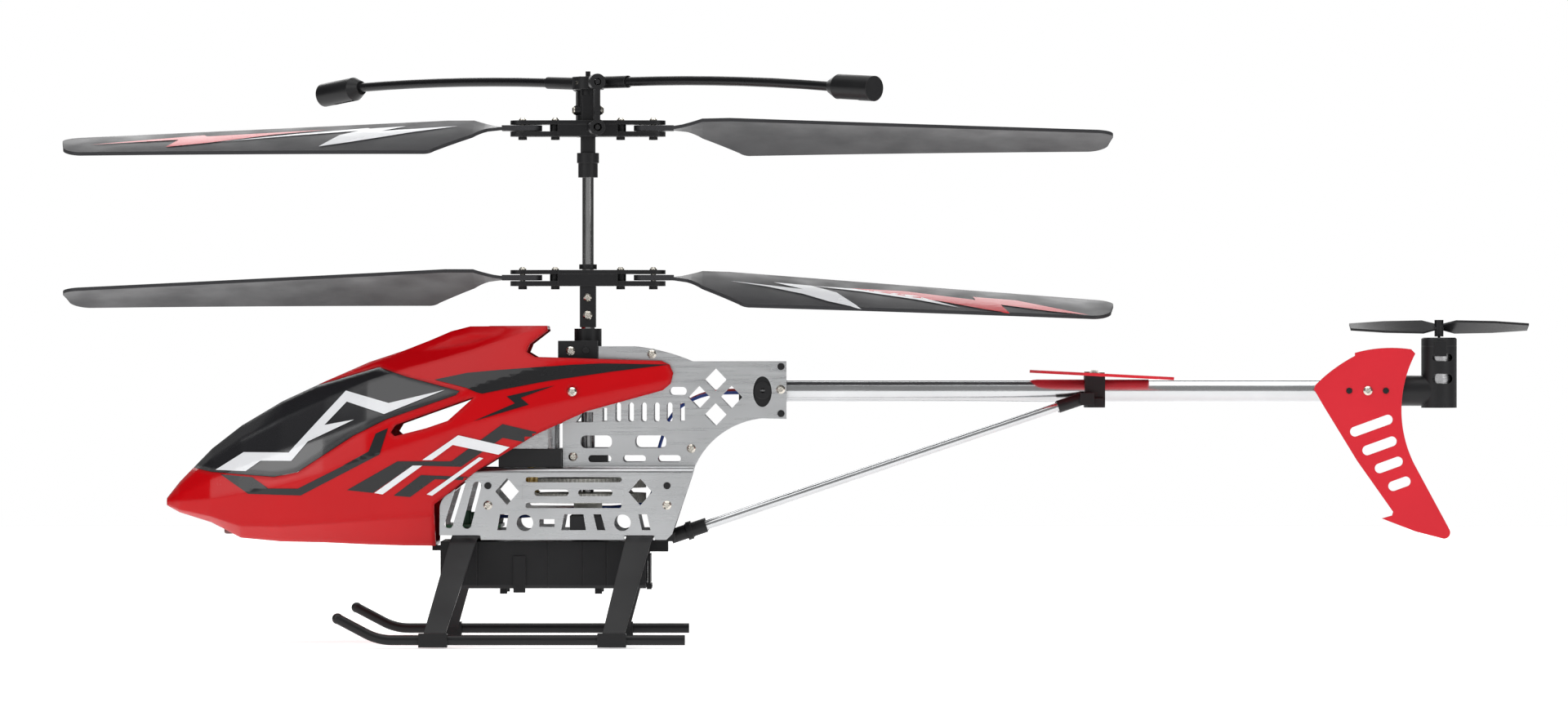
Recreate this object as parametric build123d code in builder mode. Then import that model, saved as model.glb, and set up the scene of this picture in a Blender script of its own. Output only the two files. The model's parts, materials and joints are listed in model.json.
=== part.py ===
from build123d import *
import math
import os

os.makedirs("parts", exist_ok=True)

# Coaxial toy helicopter. Millimetres, +Z up, nose towards -X, tail towards +X, its left side towards -Y.
# The origin is on the ground under the middle of the overall length.

# ---- driving dimensions ----
MAST_X = -76.2                 # axis of both main rotors
ROTOR_RADIUS = 192.9
LOWER_ROTOR_Z = 133.5          # middle of the blade slot
UPPER_ROTOR_Z = 188.4
FLYBAR_Z = 205.0
FLYBAR_HALF_LENGTH = 146.8
BOOM_Z = 92.0
BOOM_RADIUS = 4.1
TAIL_MOTOR_X = 236.4
TAIL_ROTOR_RADIUS = 32.7
SKID_Y = 55.0
SHEET = 0.8                    # side frame plate thickness
UPPER_PLATE_Y = 12.6           # middle of the sheet, upper part
LOWER_PLATE_Y = 22.3           # middle of the sheet, lower part
LEDGE_Z = 63.4                 # middle of the sheet where it steps outwards
CANOPY_WALL = 1.2
STANDOFF_LENGTH = 7.0          # posts from the frame plates out to the canopy
LOWER_BEARING_Z = 43.5

INNER_SHAFT_RADIUS = 2.1
OUTER_SHAFT_BORE = 2.15
OUTER_SHAFT_RADIUS = 2.5
GEAR_MODULE = 0.5
MAIN_TEETH = 84
PINION_TEETH = 10
MOTOR_X = MAST_X - 20.9
MOTOR_Y = 10.75
UPPER_GEAR_Z = 56.5
LOWER_GEAR_Z = 51.0
GEAR_WIDTH = 3.5

SCREW_HEAD_RADIUS = 1.65
SCREW_SHANK_RADIUS = 0.85
SCREW_HOLE_RADIUS = 0.9
BLADE_PIN_X = 24.0             # fold axis of a blade, from the mast
CLAMP_SCREW_X = 12.0

UPWARD = (Align.CENTER, Align.CENTER, Align.MIN)
DOWNWARD = (Align.CENTER, Align.CENTER, Align.MAX)


def save(piece, label):
    piece.part.label = label
    export_step(piece.part, f"parts/{label}.step")


def side_plane(y):
    """A sketch plane seen from the left: local x is +X, local y is +Z, normal towards -Y."""
    return Plane(origin=(0, y, 0), x_dir=(1, 0, 0), z_dir=(0, -1, 0))


def cross_plane(x):
    """A sketch plane across the machine: local x is +Y, local y is +Z, normal towards +X."""
    return Plane(origin=(x, 0, 0), x_dir=(0, 1, 0), z_dir=(1, 0, 0))


def pan_screw(plane, shank_length, head_radius=SCREW_HEAD_RADIUS, shank_radius=SCREW_SHANK_RADIUS):
    """Pan-head screw with a cross recess: its head stands on the plane, its shank goes below."""
    rim_height = 0.45
    dome_height = 0.65
    slot_width = 0.45
    slot_depth = 0.5
    with Locations(plane):
        Cylinder(head_radius, rim_height, align=UPWARD)
        Cylinder(shank_radius, shank_length, align=DOWNWARD)
    with Locations(plane.offset(rim_height)):
        Cone(head_radius, head_radius * 0.6, dome_height, align=UPWARD)
    with BuildSketch(plane.offset(rim_height + dome_height)) as profile:
        Rectangle(head_radius * 1.1, slot_width)
        Rectangle(slot_width, head_radius * 1.1)
    extrude(profile.sketch, amount=-slot_depth, mode=Mode.SUBTRACT)


def tube(plane, outer, inner, length):
    """A round tube standing on a plane."""
    with BuildSketch(plane) as profile:
        Circle(outer)
        Circle(inner, mode=Mode.SUBTRACT)
    extrude(profile.sketch, amount=length)


# =============================================================== side frame plates
FRAME_REAR_X = -3.3
UPPER_SCREWS = [(-52.5, 105.4), (-38.1, 70.9), (-81.3, 67.9)]
LOWER_SCREWS = [(-112.0, 50.4), (-46.8, 50.4)]
LOWER_PINS = [(-112.0, 57.5), (-46.8, 57.5)]
BOOM_SCREW = (-5.4, 92.5)
REAR_PINS = [(-5.3, 100.9), (-5.3, 83.7)]
CANOPY_SCREW = (-81.3, 91.7)


def frame_outline():
    """Both levels of one side plate as one closed outline."""
    with BuildLine() as outline:
        Line((-129.6, 39.4), (-129.6, 49.2))
        ThreePointArc((-129.6, 49.2), (-128.6, 52.4), (-125.7, 54.9))
        Polyline((-125.7, 54.9), (-115.0, 63.8), (-85.1, 63.8), (-85.1, 103.0), (-72.0, 103.0), (-72.0, 108.3))
        Line((-72.0, 108.3), (-58.5, 108.3))
        ThreePointArc((-58.5, 108.3), (-48.0, 106.3), (-37.9, 102.8))
        Polyline((-37.9, 102.8), (FRAME_REAR_X, 102.8), (FRAME_REAR_X, 81.7), (-12.3, 81.9))
        ThreePointArc((-12.3, 81.9), (-26.9, 76.4), (-37.0, 63.9))
        Polyline((-37.0, 63.9), (-38.1, 60.4), (-44.9, 39.9), (-47.0, 37.8), (-51.4, 37.8), (-51.4, 39.4))
        Polyline((-51.4, 39.4), (-62.3, 39.4), (-62.3, 37.8), (-114.6, 37.8), (-114.8, 39.4), (-129.6, 39.4))
    make_face(outline.edges())


def frame_holes():
    """Lightening holes of one side plate, upper level first."""
    Polygon((-80.3, 80.6), (-74.0, 80.6), (-74.0, 84.2), (-77.6, 84.2), align=None)
    with Locations((-69.7, 83.3)):
        Rectangle(1.7, 4.9)
    with Locations(*[(-64.8 + 4.7 * i, 84.2) for i in range(5)]):
        SlotOverall(7.1, 2.1, rotation=90)
    with Locations((-41.3, 84.2)):
        Rectangle(1.7, 6.7)
    with Locations((-42.9, 91.9)):
        SlotOverall(6.3, 3.0)
    with Locations((-29.2, 96.1), (-35.2, 89.7), (-23.4, 89.7), (-29.2, 83.3)):
        Polygon((-4.0, 0), (0, -4.2), (4.0, 0), (0, 4.2), align=None)
    with Locations((-12.1, 91.7)):
        Ellipse(3.4, 5.6)
    with Locations((-72.8, 73.4), (-52.9, 73.4)):
        RectangleRounded(11.4, 4.6, 1.9)
    with Locations((-71.5, 67.2), (-58.9, 67.2), (-46.1, 67.2)):
        SlotOverall(8.4, 2.6)
    with Locations((-105.0, 55.4), (-56.5, 55.2)):
        Polygon((-4.3, 0), (0, -4.9), (4.3, 0), (0, 4.9), align=None)
    with Locations((-80.8, 59.7), (-80.8, 50.3)):
        SlotOverall(35.0, 1.9)
    with Locations((-88.8, 54.9), (-72.9, 54.9)):
        SlotOverall(12.5, 2.3)
    with Locations((-98.5, 44.0), (-63.0, 44.0)):
        Circle(3.0)
    with Locations((-90.5, 43.9)):
        Rectangle(5.5, 2.8)
    Polygon((-107.6, 47.1), (-104.5, 47.1), (-105.4, 41.3), (-108.6, 41.3), align=None)
    Polygon((-84.2, 47.1), (-77.2, 47.1), (-76.3, 41.3), (-85.3, 41.3), align=None)
    Polygon((-73.6, 47.1), (-70.8, 47.1), (-69.2, 41.3), (-72.2, 41.3), align=None)
    Polygon((-57.2, 47.1), (-54.1, 47.1), (-52.8, 41.3), (-55.9, 41.3), align=None)
    with Locations(*UPPER_SCREWS, *LOWER_SCREWS, BOOM_SCREW):
        Circle(SCREW_HOLE_RADIUS)
    with Locations(*LOWER_PINS, *REAR_PINS):
        Circle(1.25)


with BuildPart() as side_frame_left:
    bend_radius = 1.2
    with BuildSketch(Plane(origin=(-140, 0, 0), x_dir=(0, 1, 0), z_dir=(1, 0, 0))):
        with BuildLine():
            FilletPolyline(
                (-UPPER_PLATE_Y, 112), (-UPPER_PLATE_Y, LEDGE_Z), (-LOWER_PLATE_Y, LEDGE_Z), (-LOWER_PLATE_Y, 34),
                radius=bend_radius,
            )
        trace(line_width=SHEET)
    extrude(amount=145)
    with BuildSketch(side_plane(0)):
        frame_outline()
    extrude(amount=30, mode=Mode.INTERSECT)
    panel_lift = 0.35
    with BuildSketch(side_plane(-LOWER_PLATE_Y - SHEET / 2)):
        with Locations((-81.1, 55.0)):
            RectangleRounded(36.6, 7.2, 0.8)
    extrude(amount=panel_lift)
    with BuildSketch(side_plane(0)):
        frame_holes()
    extrude(amount=30, mode=Mode.SUBTRACT)
    with BuildSketch(side_plane(0)):
        for slot_top, slot_bottom in (((-121.7, 58.2), (-126.2, 43.6)), ((-115.9, 57.4), (-119.6, 43.4))):
            with BuildLine():
                CenterArc(slot_top, 1.6, 0, 180)
                CenterArc(slot_bottom, 1.6, 180, 180)
                Line((slot_top[0] - 1.6, slot_top[1]), (slot_bottom[0] - 1.6, slot_bottom[1]))
                Line((slot_top[0] + 1.6, slot_top[1]), (slot_bottom[0] + 1.6, slot_bottom[1]))
            make_face()
    extrude(amount=30, mode=Mode.SUBTRACT)
save(side_frame_left, "side_frame_left")

with BuildPart() as side_frame_right:
    mirror(side_frame_left.part, about=Plane.XZ)
save(side_frame_right, "side_frame_right")

# =============================================================== spacers between the plates
with BuildPart() as frame_spacers:
    upper_half = UPPER_PLATE_Y - SHEET / 2
    lower_half = LOWER_PLATE_Y - SHEET / 2
    with Locations(*[(x, 0, z) for x, z in UPPER_SCREWS[:2]]):
        Cylinder(2.0, 2 * upper_half, rotation=(90, 0, 0))
    with Locations(*[(x, 0, 53.9) for x, z in LOWER_SCREWS]):
        Box(5.0, 2 * lower_half, 12.0)
    for x, z in LOWER_PINS:
        with Locations((x, 0, z)):
            Cylinder(1.2, 2 * lower_half + 2.6, rotation=(90, 0, 0))
    with Locations(*[(x, 0, z) for x, z in UPPER_SCREWS[:2] + LOWER_SCREWS]):
        Cylinder(SCREW_HOLE_RADIUS, 60, rotation=(90, 0, 0), mode=Mode.SUBTRACT)
    with Locations((-117.5, 0, 39.5)):
        Box(17.0, 2 * lower_half, 2.4, align=UPWARD)
    with Locations((MAST_X, 0, 39.5)):
        Box(12.0, 2 * lower_half, 7.0, align=UPWARD)
    with Locations((MAST_X, 0, LOWER_BEARING_Z - 0.5)):
        Cylinder(4.0, 10, align=UPWARD, mode=Mode.SUBTRACT)
    for side in (-1, 1):
        plate_face = (0, side * (UPPER_PLATE_Y + SHEET / 2), 0)
        with BuildSketch(Plane(origin=plate_face, x_dir=(1, 0, 0), z_dir=(0, side, 0))):
            with Locations((CANOPY_SCREW[0], -side * CANOPY_SCREW[1])):
                Circle(2.3)
                Circle(SCREW_HOLE_RADIUS, mode=Mode.SUBTRACT)
        extrude(amount=STANDOFF_LENGTH)
save(frame_spacers, "frame_spacers")


def frame_screw_set(side):
    """Pan-head screws of one side of the frame, side is -1 for left and 1 for right."""
    for points, middle in ((UPPER_SCREWS + [BOOM_SCREW], UPPER_PLATE_Y), (LOWER_SCREWS, LOWER_PLATE_Y)):
        for x, z in points:
            seat = side * (middle + SHEET / 2)
            pan_screw(Plane(origin=(x, seat, z), x_dir=(1, 0, 0), z_dir=(0, side, 0)), 5.5)


# =============================================================== mast bearing block
TOWER_TOP_Z = 114.8
with BuildPart() as mast_bearing_block:
    block_half = UPPER_PLATE_Y + SHEET / 2
    with Locations(((-86.8 - 72.4) / 2, 0, 103.2)):
        Box(14.4, 2 * block_half, 7.1, align=UPWARD)
    with Locations(((-86.8 - 68.0) / 2, 0, 95.5)):
        Box(18.8, 2 * upper_half, 8.0, align=UPWARD)
    with Locations((MAST_X, 0, 103.0)):
        Cylinder(5.0, TOWER_TOP_Z - 103.0, align=UPWARD)
    with Locations((MAST_X, 0, 90)):
        Cylinder(OUTER_SHAFT_RADIUS + 0.5, 30, align=UPWARD, mode=Mode.SUBTRACT)
    with Locations((MAST_X, 0, TOWER_TOP_Z - 4)):
        Cylinder(4.0, 10, align=UPWARD, mode=Mode.SUBTRACT)
    with Locations((-82.2, 0, 106.6)):
        Cylinder(SCREW_HOLE_RADIUS, 40, rotation=(90, 0, 0), mode=Mode.SUBTRACT)
    with Locations((-76.6, -block_half - 0.3, 106.7)):
        Cylinder(1.1, 2.0, rotation=(90, 0, 0), align=(Align.CENTER, Align.CENTER, Align.CENTER))
save(mast_bearing_block, "mast_bearing_block")

# =============================================================== motor mount with the middle shaft bearing
MOUNT_BOTTOM_Z = 64.2
MOUNT_TOP_Z = 70.8
MOTOR_RADIUS = 10.2
MOTOR_FLAT = 7.7
MOTOR_LENGTH = 31.0
with BuildPart() as motor_mount:
    with Locations((-96.8, 0, MOUNT_BOTTOM_Z)):
        Box(22.8, 41.0, MOUNT_TOP_Z - MOUNT_BOTTOM_Z, align=UPWARD)
    with Locations((-77.0, 0, MOUNT_BOTTOM_Z)):
        Box(16.0, 2 * upper_half - 0.2, MOUNT_TOP_Z - MOUNT_BOTTOM_Z, align=UPWARD)
    with Locations((MAST_X, 0, 60)):
        Cylinder(OUTER_SHAFT_RADIUS + 0.5, 15, align=UPWARD, mode=Mode.SUBTRACT)
    with Locations((MAST_X, 0, MOUNT_BOTTOM_Z)):
        Cylinder(4.0, 3.0, align=UPWARD, mode=Mode.SUBTRACT)
    with Locations(*[(MOTOR_X, side * MOTOR_Y, 60) for side in (-1, 1)]):
        Cylinder(3.2, 15, align=UPWARD, mode=Mode.SUBTRACT)
    with Locations((-81.3, 0, 67.9)):
        Cylinder(SCREW_HOLE_RADIUS, 60, rotation=(90, 0, 0), mode=Mode.SUBTRACT)
save(motor_mount, "motor_mount")


def motor_can(side):
    """A can motor with two flats; its shaft side faces down."""
    with BuildSketch(Plane.XY.offset(MOUNT_TOP_Z)) as profile:
        with Locations((MOTOR_X, side * MOTOR_Y)):
            Circle(MOTOR_RADIUS)
            Rectangle(30, 2 * MOTOR_FLAT, mode=Mode.INTERSECT)
    extrude(profile.sketch, amount=MOTOR_LENGTH)
    chamfer(edges().group_by(Axis.Z)[-1], 0.8)
    with Locations((MOTOR_X, side * MOTOR_Y, MOUNT_TOP_Z)):
        Cylinder(3.0, 2.0, align=DOWNWARD)
        Cylinder(0.8, 44, mode=Mode.SUBTRACT)


with BuildPart() as main_motor_left:
    motor_can(-1)
save(main_motor_left, "main_motor_left")

with BuildPart() as main_motor_right:
    motor_can(1)
save(main_motor_right, "main_motor_right")


# =============================================================== gears
def gear_outline(teeth, centre_tooth_angle):
    """Straight-flanked teeth round a root circle; one tooth points along the given angle in degrees."""
    pitch_radius = GEAR_MODULE * teeth / 2
    root_radius = pitch_radius - 1.1 * GEAR_MODULE
    tip_radius = pitch_radius + 0.8 * GEAR_MODULE
    half_root = 0.36
    half_tip = 0.14
    Circle(root_radius)
    with PolarLocations(0, teeth, start_angle=centre_tooth_angle):
        Polygon(
            (root_radius - 0.3, -half_root), (tip_radius, -half_tip), (tip_radius, half_tip),
            (root_radius - 0.3, half_root), align=None,
        )


def mesh_angle(side):
    """Direction from the mast to a motor shaft, in degrees."""
    return math.degrees(math.atan2(side * MOTOR_Y, MOTOR_X - MAST_X))


def main_gear(side, bottom_z, bore, boss_z, boss_length):
    """A spoked main gear with a gap between teeth facing its pinion."""
    half_pitch = 180 / MAIN_TEETH
    with BuildSketch(Plane(origin=(MAST_X, 0, bottom_z), z_dir=(0, 0, 1))) as profile:
        gear_outline(MAIN_TEETH, mesh_angle(side) + half_pitch)
        with PolarLocations(11.8, 6):
            Circle(4.2, mode=Mode.SUBTRACT)
    extrude(profile.sketch, amount=GEAR_WIDTH)
    with BuildSketch(Plane(origin=(MAST_X, 0, boss_z), z_dir=(0, 0, 1))) as profile:
        Circle(5.2)
    extrude(profile.sketch, amount=boss_length)
    with Locations((MAST_X, 0, 30)):
        Cylinder(bore, 60, align=UPWARD, mode=Mode.SUBTRACT)


with BuildPart() as upper_main_gear:
    main_gear(-1, UPPER_GEAR_Z, OUTER_SHAFT_RADIUS, UPPER_GEAR_Z, 5.8)
save(upper_main_gear, "upper_main_gear")

with BuildPart() as lower_main_gear:
    main_gear(1, LOWER_GEAR_Z, INNER_SHAFT_RADIUS, 47.5, LOWER_GEAR_Z - 47.5)
save(lower_main_gear, "lower_main_gear")


def pinion(side, bottom_z):
    """A pinion on its motor shaft; one tooth points at the mast."""
    shaft_top_z = 90.0
    with BuildSketch(Plane(origin=(MOTOR_X, side * MOTOR_Y, bottom_z), z_dir=(0, 0, 1))) as profile:
        gear_outline(PINION_TEETH, mesh_angle(side) + 180)
    extrude(profile.sketch, amount=GEAR_WIDTH + 1.0)
    with Locations((MOTOR_X, side * MOTOR_Y, bottom_z)):
        Cylinder(0.75, shaft_top_z - bottom_z, align=UPWARD)


with BuildPart() as pinion_left:
    pinion(-1, UPPER_GEAR_Z - 0.5)
save(pinion_left, "pinion_left")

with BuildPart() as pinion_right:
    pinion(1, LOWER_GEAR_Z - 0.5)
save(pinion_right, "pinion_right")

# =============================================================== shafts and their bearings
with BuildPart() as outer_shaft:
    shaft_bottom = Plane(origin=(MAST_X, 0, UPPER_GEAR_Z - 0.5), z_dir=(0, 0, 1))
    tube(shaft_bottom, OUTER_SHAFT_RADIUS, OUTER_SHAFT_BORE, 72.5)
save(outer_shaft, "outer_shaft")

with BuildPart() as inner_shaft:
    with Locations((MAST_X, 0, LOWER_BEARING_Z)):
        Cylinder(INNER_SHAFT_RADIUS, 185.8 - LOWER_BEARING_Z, align=UPWARD)
save(inner_shaft, "inner_shaft")

with BuildPart() as shaft_bearings:
    for bottom_z, bore in ((TOWER_TOP_Z - 4, OUTER_SHAFT_RADIUS), (MOUNT_BOTTOM_Z, OUTER_SHAFT_RADIUS),
                           (LOWER_BEARING_Z - 0.5, INNER_SHAFT_RADIUS)):
        tube(Plane(origin=(MAST_X, 0, bottom_z), z_dir=(0, 0, 1)), 4.0, bore + 0.03, 3.0)
save(shaft_bearings, "shaft_bearings")

# =============================================================== rotor hubs
HUB_LENGTH = 57.0
HUB_WIDTH = 9.2
BOTTOM_PLATE = (-3.1, 1.85)        # bottom and thickness of the lower arm plate, from the slot middle
TOP_PLATE = (1.3, 1.5)
SLOT_TOP = 1.3
SLOT_BOTTOM = -1.25


def hub_arms(centre_z, post_window):
    """The hub moulding: lower arm plate, middle block and screw bosses."""
    nut_height = 1.2
    with BuildSketch(Plane(origin=(MAST_X, 0, centre_z + BOTTOM_PLATE[0]), z_dir=(0, 0, 1))) as profile:
        SlotOverall(HUB_LENGTH, HUB_WIDTH)
        Rectangle(22.0, HUB_WIDTH + 1.2)
    extrude(profile.sketch, amount=BOTTOM_PLATE[1])
    with BuildSketch(Plane(origin=(MAST_X, 0, centre_z + SLOT_BOTTOM - 0.1), z_dir=(0, 0, 1))) as profile:
        Rectangle(22.0, HUB_WIDTH + 1.2)
        with Locations((-CLAMP_SCREW_X, 0), (CLAMP_SCREW_X, 0)):
            Circle(2.0)
    extrude(profile.sketch, amount=SLOT_TOP - SLOT_BOTTOM + 0.1)
    with BuildSketch(Plane(origin=(MAST_X, 0, centre_z + BOTTOM_PLATE[0]), z_dir=(0, 0, 1))) as profile:
        with Locations(*[(side * x, 0) for side in (-1, 1) for x in (CLAMP_SCREW_X, BLADE_PIN_X)]):
            Circle(1.6)
    extrude(profile.sketch, amount=-nut_height)
    with BuildSketch(Plane(origin=(MAST_X, 0, centre_z), z_dir=(0, 0, 1))) as profile:
        with Locations(*[(side * x, 0) for side in (-1, 1) for x in (CLAMP_SCREW_X, BLADE_PIN_X)]):
            Circle(1.0)
        if post_window:
            Rectangle(*post_window)
    extrude(profile.sketch, amount=10, both=True, mode=Mode.SUBTRACT)


def hub_cap(centre_z, window):
    """The clamp plate screwed on top of the hub."""
    with BuildSketch(Plane(origin=(MAST_X, 0, centre_z + TOP_PLATE[0]), z_dir=(0, 0, 1))) as profile:
        SlotOverall(HUB_LENGTH, HUB_WIDTH)
        Rectangle(22.0, HUB_WIDTH + 1.2)
        if len(window) == 2:
            Rectangle(*window, mode=Mode.SUBTRACT)
        else:
            Circle(window[0], mode=Mode.SUBTRACT)
        with Locations(*[(side * x, 0) for side in (-1, 1) for x in (CLAMP_SCREW_X, BLADE_PIN_X)]):
            Circle(1.0, mode=Mode.SUBTRACT)
    extrude(profile.sketch, amount=TOP_PLATE[1])


def hub_screws(centre_z):
    """Four screws, the outer two are the blades' fold pins."""
    top_z = centre_z + TOP_PLATE[0] + TOP_PLATE[1]
    for x in (-BLADE_PIN_X, -CLAMP_SCREW_X, CLAMP_SCREW_X, BLADE_PIN_X):
        pan_screw(Plane(origin=(MAST_X + x, 0, top_z), z_dir=(0, 0, 1)), 6.8, 1.35, 1.0)


NECK_WIDTH = 5.8
NECK_DEPTH = 8.6
NECK_BOTTOM_Z = 115.3
NECK_SCREWS = [(126.2, 1.5), (119.6, 1.7)]
with BuildPart() as lower_hub:
    hub_arms(LOWER_ROTOR_Z, None)
    with Locations((MAST_X, 0, NECK_BOTTOM_Z)):
        Box(NECK_WIDTH, NECK_DEPTH, LOWER_ROTOR_Z + BOTTOM_PLATE[0] - NECK_BOTTOM_Z, align=UPWARD)
    with Locations((MAST_X, 0, 100)):
        Cylinder(OUTER_SHAFT_RADIUS, 28.5, align=UPWARD, mode=Mode.SUBTRACT)
        Cylinder(INNER_SHAFT_RADIUS + 0.2, 45, align=UPWARD, mode=Mode.SUBTRACT)
    with Locations(*[(MAST_X, -NECK_DEPTH / 2, z) for z, _ in NECK_SCREWS]):
        Cylinder(SCREW_HOLE_RADIUS, 3.0, rotation=(90, 0, 0), mode=Mode.SUBTRACT)
save(lower_hub, "lower_hub")

with BuildPart() as lower_hub_cap:
    hub_cap(LOWER_ROTOR_Z, (INNER_SHAFT_RADIUS + 0.2,))
save(lower_hub_cap, "lower_hub_cap")

with BuildPart() as lower_hub_screws:
    hub_screws(LOWER_ROTOR_Z)
    for z, head_radius in NECK_SCREWS:
        pan_screw(Plane(origin=(MAST_X, -NECK_DEPTH / 2, z), x_dir=(1, 0, 0), z_dir=(0, -1, 0)), 1.4, head_radius)
save(lower_hub_screws, "lower_hub_screws")

# ---- upper rotor: post on the inner shaft, tilting hub ----
POST_WIDTH = 5.4
POST_BOTTOM_Z = 179.3
POST_SQUARE_TOP_Z = 200.6
CROSS_BOSS_Z = 195.0
FLYBAR_ANGLE = -45
TILT_AXIS_ANGLE = 45
LINK_RADIUS = 12.8
LINK_ANGLE = -74


def polar(radius, degrees):
    return (MAST_X + radius * math.cos(math.radians(degrees)), radius * math.sin(math.radians(degrees)))


def horizontal_plane(radius, degrees, z):
    """A sketch plane standing at a polar place round the mast, its normal pointing outwards."""
    x, y = polar(radius, degrees)
    outward = (math.cos(math.radians(degrees)), math.sin(math.radians(degrees)), 0)
    return Plane(origin=(x, y, z), x_dir=(-outward[1], outward[0], 0), z_dir=outward)


with BuildPart() as shaft_collars:
    plane = Plane(origin=(MAST_X, 0, 170.3), z_dir=(0, 0, 1))
    tube(plane, 3.6, INNER_SHAFT_RADIUS, 5.3)
    tube(plane.offset(5.3), 4.05, INNER_SHAFT_RADIUS, 3.7)
    tube(Plane(origin=(MAST_X, 0, 136.6), z_dir=(0, 0, 1)), 3.25, INNER_SHAFT_RADIUS, 1.8)
save(shaft_collars, "shaft_collars")

with BuildPart() as head_post:
    with Locations((MAST_X, 0, POST_BOTTOM_Z)):
        Box(POST_WIDTH, POST_WIDTH, POST_SQUARE_TOP_Z - POST_BOTTOM_Z, align=UPWARD)
    fillet(edges().filter_by(Axis.Z), 0.9)
    with Locations((MAST_X, 0, POST_SQUARE_TOP_Z)):
        Cylinder(2.7, 207.4 - POST_SQUARE_TOP_Z, align=UPWARD)
    with Locations((MAST_X, 0, 207.4)):
        Cylinder(0.9, 1.9, align=UPWARD)
    with Locations((MAST_X, 0, CROSS_BOSS_Z)):
        Cylinder(1.8, 9.4, rotation=(0, 90, 0))
        Cylinder(SCREW_HOLE_RADIUS, 20, rotation=(0, 90, 0), mode=Mode.SUBTRACT)
    with Locations((MAST_X, 0, 170)):
        Cylinder(INNER_SHAFT_RADIUS, 15.8, align=UPWARD, mode=Mode.SUBTRACT)
    with Locations((MAST_X, 0, UPPER_ROTOR_Z)):
        Cylinder(0.8, 20, rotation=(0, 90, 0), mode=Mode.SUBTRACT)
    with BuildSketch(horizontal_plane(-10, TILT_AXIS_ANGLE, FLYBAR_Z)):
        Circle(0.8)
    extrude(amount=20, mode=Mode.SUBTRACT)
save(head_post, "head_post")

with BuildPart() as head_post_pins:
    for side in (-1, 1):
        seat = Plane(origin=(MAST_X + side * 4.7, 0, CROSS_BOSS_Z), x_dir=(0, 1, 0), z_dir=(side, 0, 0))
        pan_screw(seat, 3.5, 1.6)
    with BuildSketch(horizontal_plane(-5.4, TILT_AXIS_ANGLE, FLYBAR_Z)):
        Circle(0.75)
    extrude(amount=10.8)
save(head_post_pins, "head_post_pins")

UPPER_WINDOW = (POST_WIDTH + 0.6, POST_WIDTH + 2.2)
with BuildPart() as upper_hub:
    hub_arms(UPPER_ROTOR_Z, UPPER_WINDOW)
    for angle in (LINK_ANGLE, LINK_ANGLE + 180):
        with BuildSketch(horizontal_plane(4.6, angle, UPPER_ROTOR_Z)):
            Rectangle(3.6, 2.4)
        extrude(amount=LINK_RADIUS - 4.6 - 2.0)
        with BuildSketch(horizontal_plane(4.6, angle, UPPER_ROTOR_Z)):
            Circle(0.9)
        extrude(amount=LINK_RADIUS - 4.6 + 1.6)
    with BuildSketch(Plane(origin=(MAST_X, 0, UPPER_ROTOR_Z), z_dir=(0, 0, 1))):
        Rectangle(*UPPER_WINDOW)
    extrude(amount=10, both=True, mode=Mode.SUBTRACT)
    with Locations((MAST_X, 0, UPPER_ROTOR_Z)):
        Cylinder(0.8, 19.0, rotation=(0, 90, 0), mode=Mode.SUBTRACT)
save(upper_hub, "upper_hub")

with BuildPart() as upper_hub_cap:
    hub_cap(UPPER_ROTOR_Z, UPPER_WINDOW)
save(upper_hub_cap, "upper_hub_cap")

with BuildPart() as upper_hub_screws:
    hub_screws(UPPER_ROTOR_Z)
    with Locations((MAST_X, 0, UPPER_ROTOR_Z)):
        Cylinder(0.75, 18.0, rotation=(0, 90, 0))
save(upper_hub_screws, "upper_hub_screws")

# =============================================================== flybar
def flybar_point(reach, z):
    x, y = polar(reach, FLYBAR_ANGLE)
    return (x, y, z)


ROD_RADIUS = 1.7
ROD_START = 7.5
ROD_STRAIGHT_END = 22.0
ROD_END = 126.0
WEIGHT_RADIUS = 4.5
# Each rod leaves the hub on a small slope and sags to its tip: sense, slope, tip height.
ROD_SHAPES = [(1, -0.005, 200.2), (-1, 0.05, 206.9)]


def rod_plane(sense, slope):
    """Plane across a rod at its inner end, its normal runs outwards along the rod."""
    start = Vector(*flybar_point(sense * ROD_START, FLYBAR_Z))
    onward = Vector(*flybar_point(sense * (ROD_START + 10), FLYBAR_Z + 10 * slope))
    return Plane(origin=start, z_dir=onward - start)


with BuildPart() as flybar_rods:
    for sense, slope, tip_z in ROD_SHAPES:
        start_plane = rod_plane(sense, slope)
        straight_end = start_plane.origin + start_plane.z_dir * (ROD_STRAIGHT_END - ROD_START)
        with BuildLine() as rod_path:
            Line(start_plane.origin, straight_end)
            TangentArc(straight_end, flybar_point(sense * ROD_END, tip_z), tangent=start_plane.z_dir)
        with BuildSketch(start_plane):
            Circle(ROD_RADIUS)
        sweep(path=rod_path.line)
save(flybar_rods, "flybar_rods")

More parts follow.
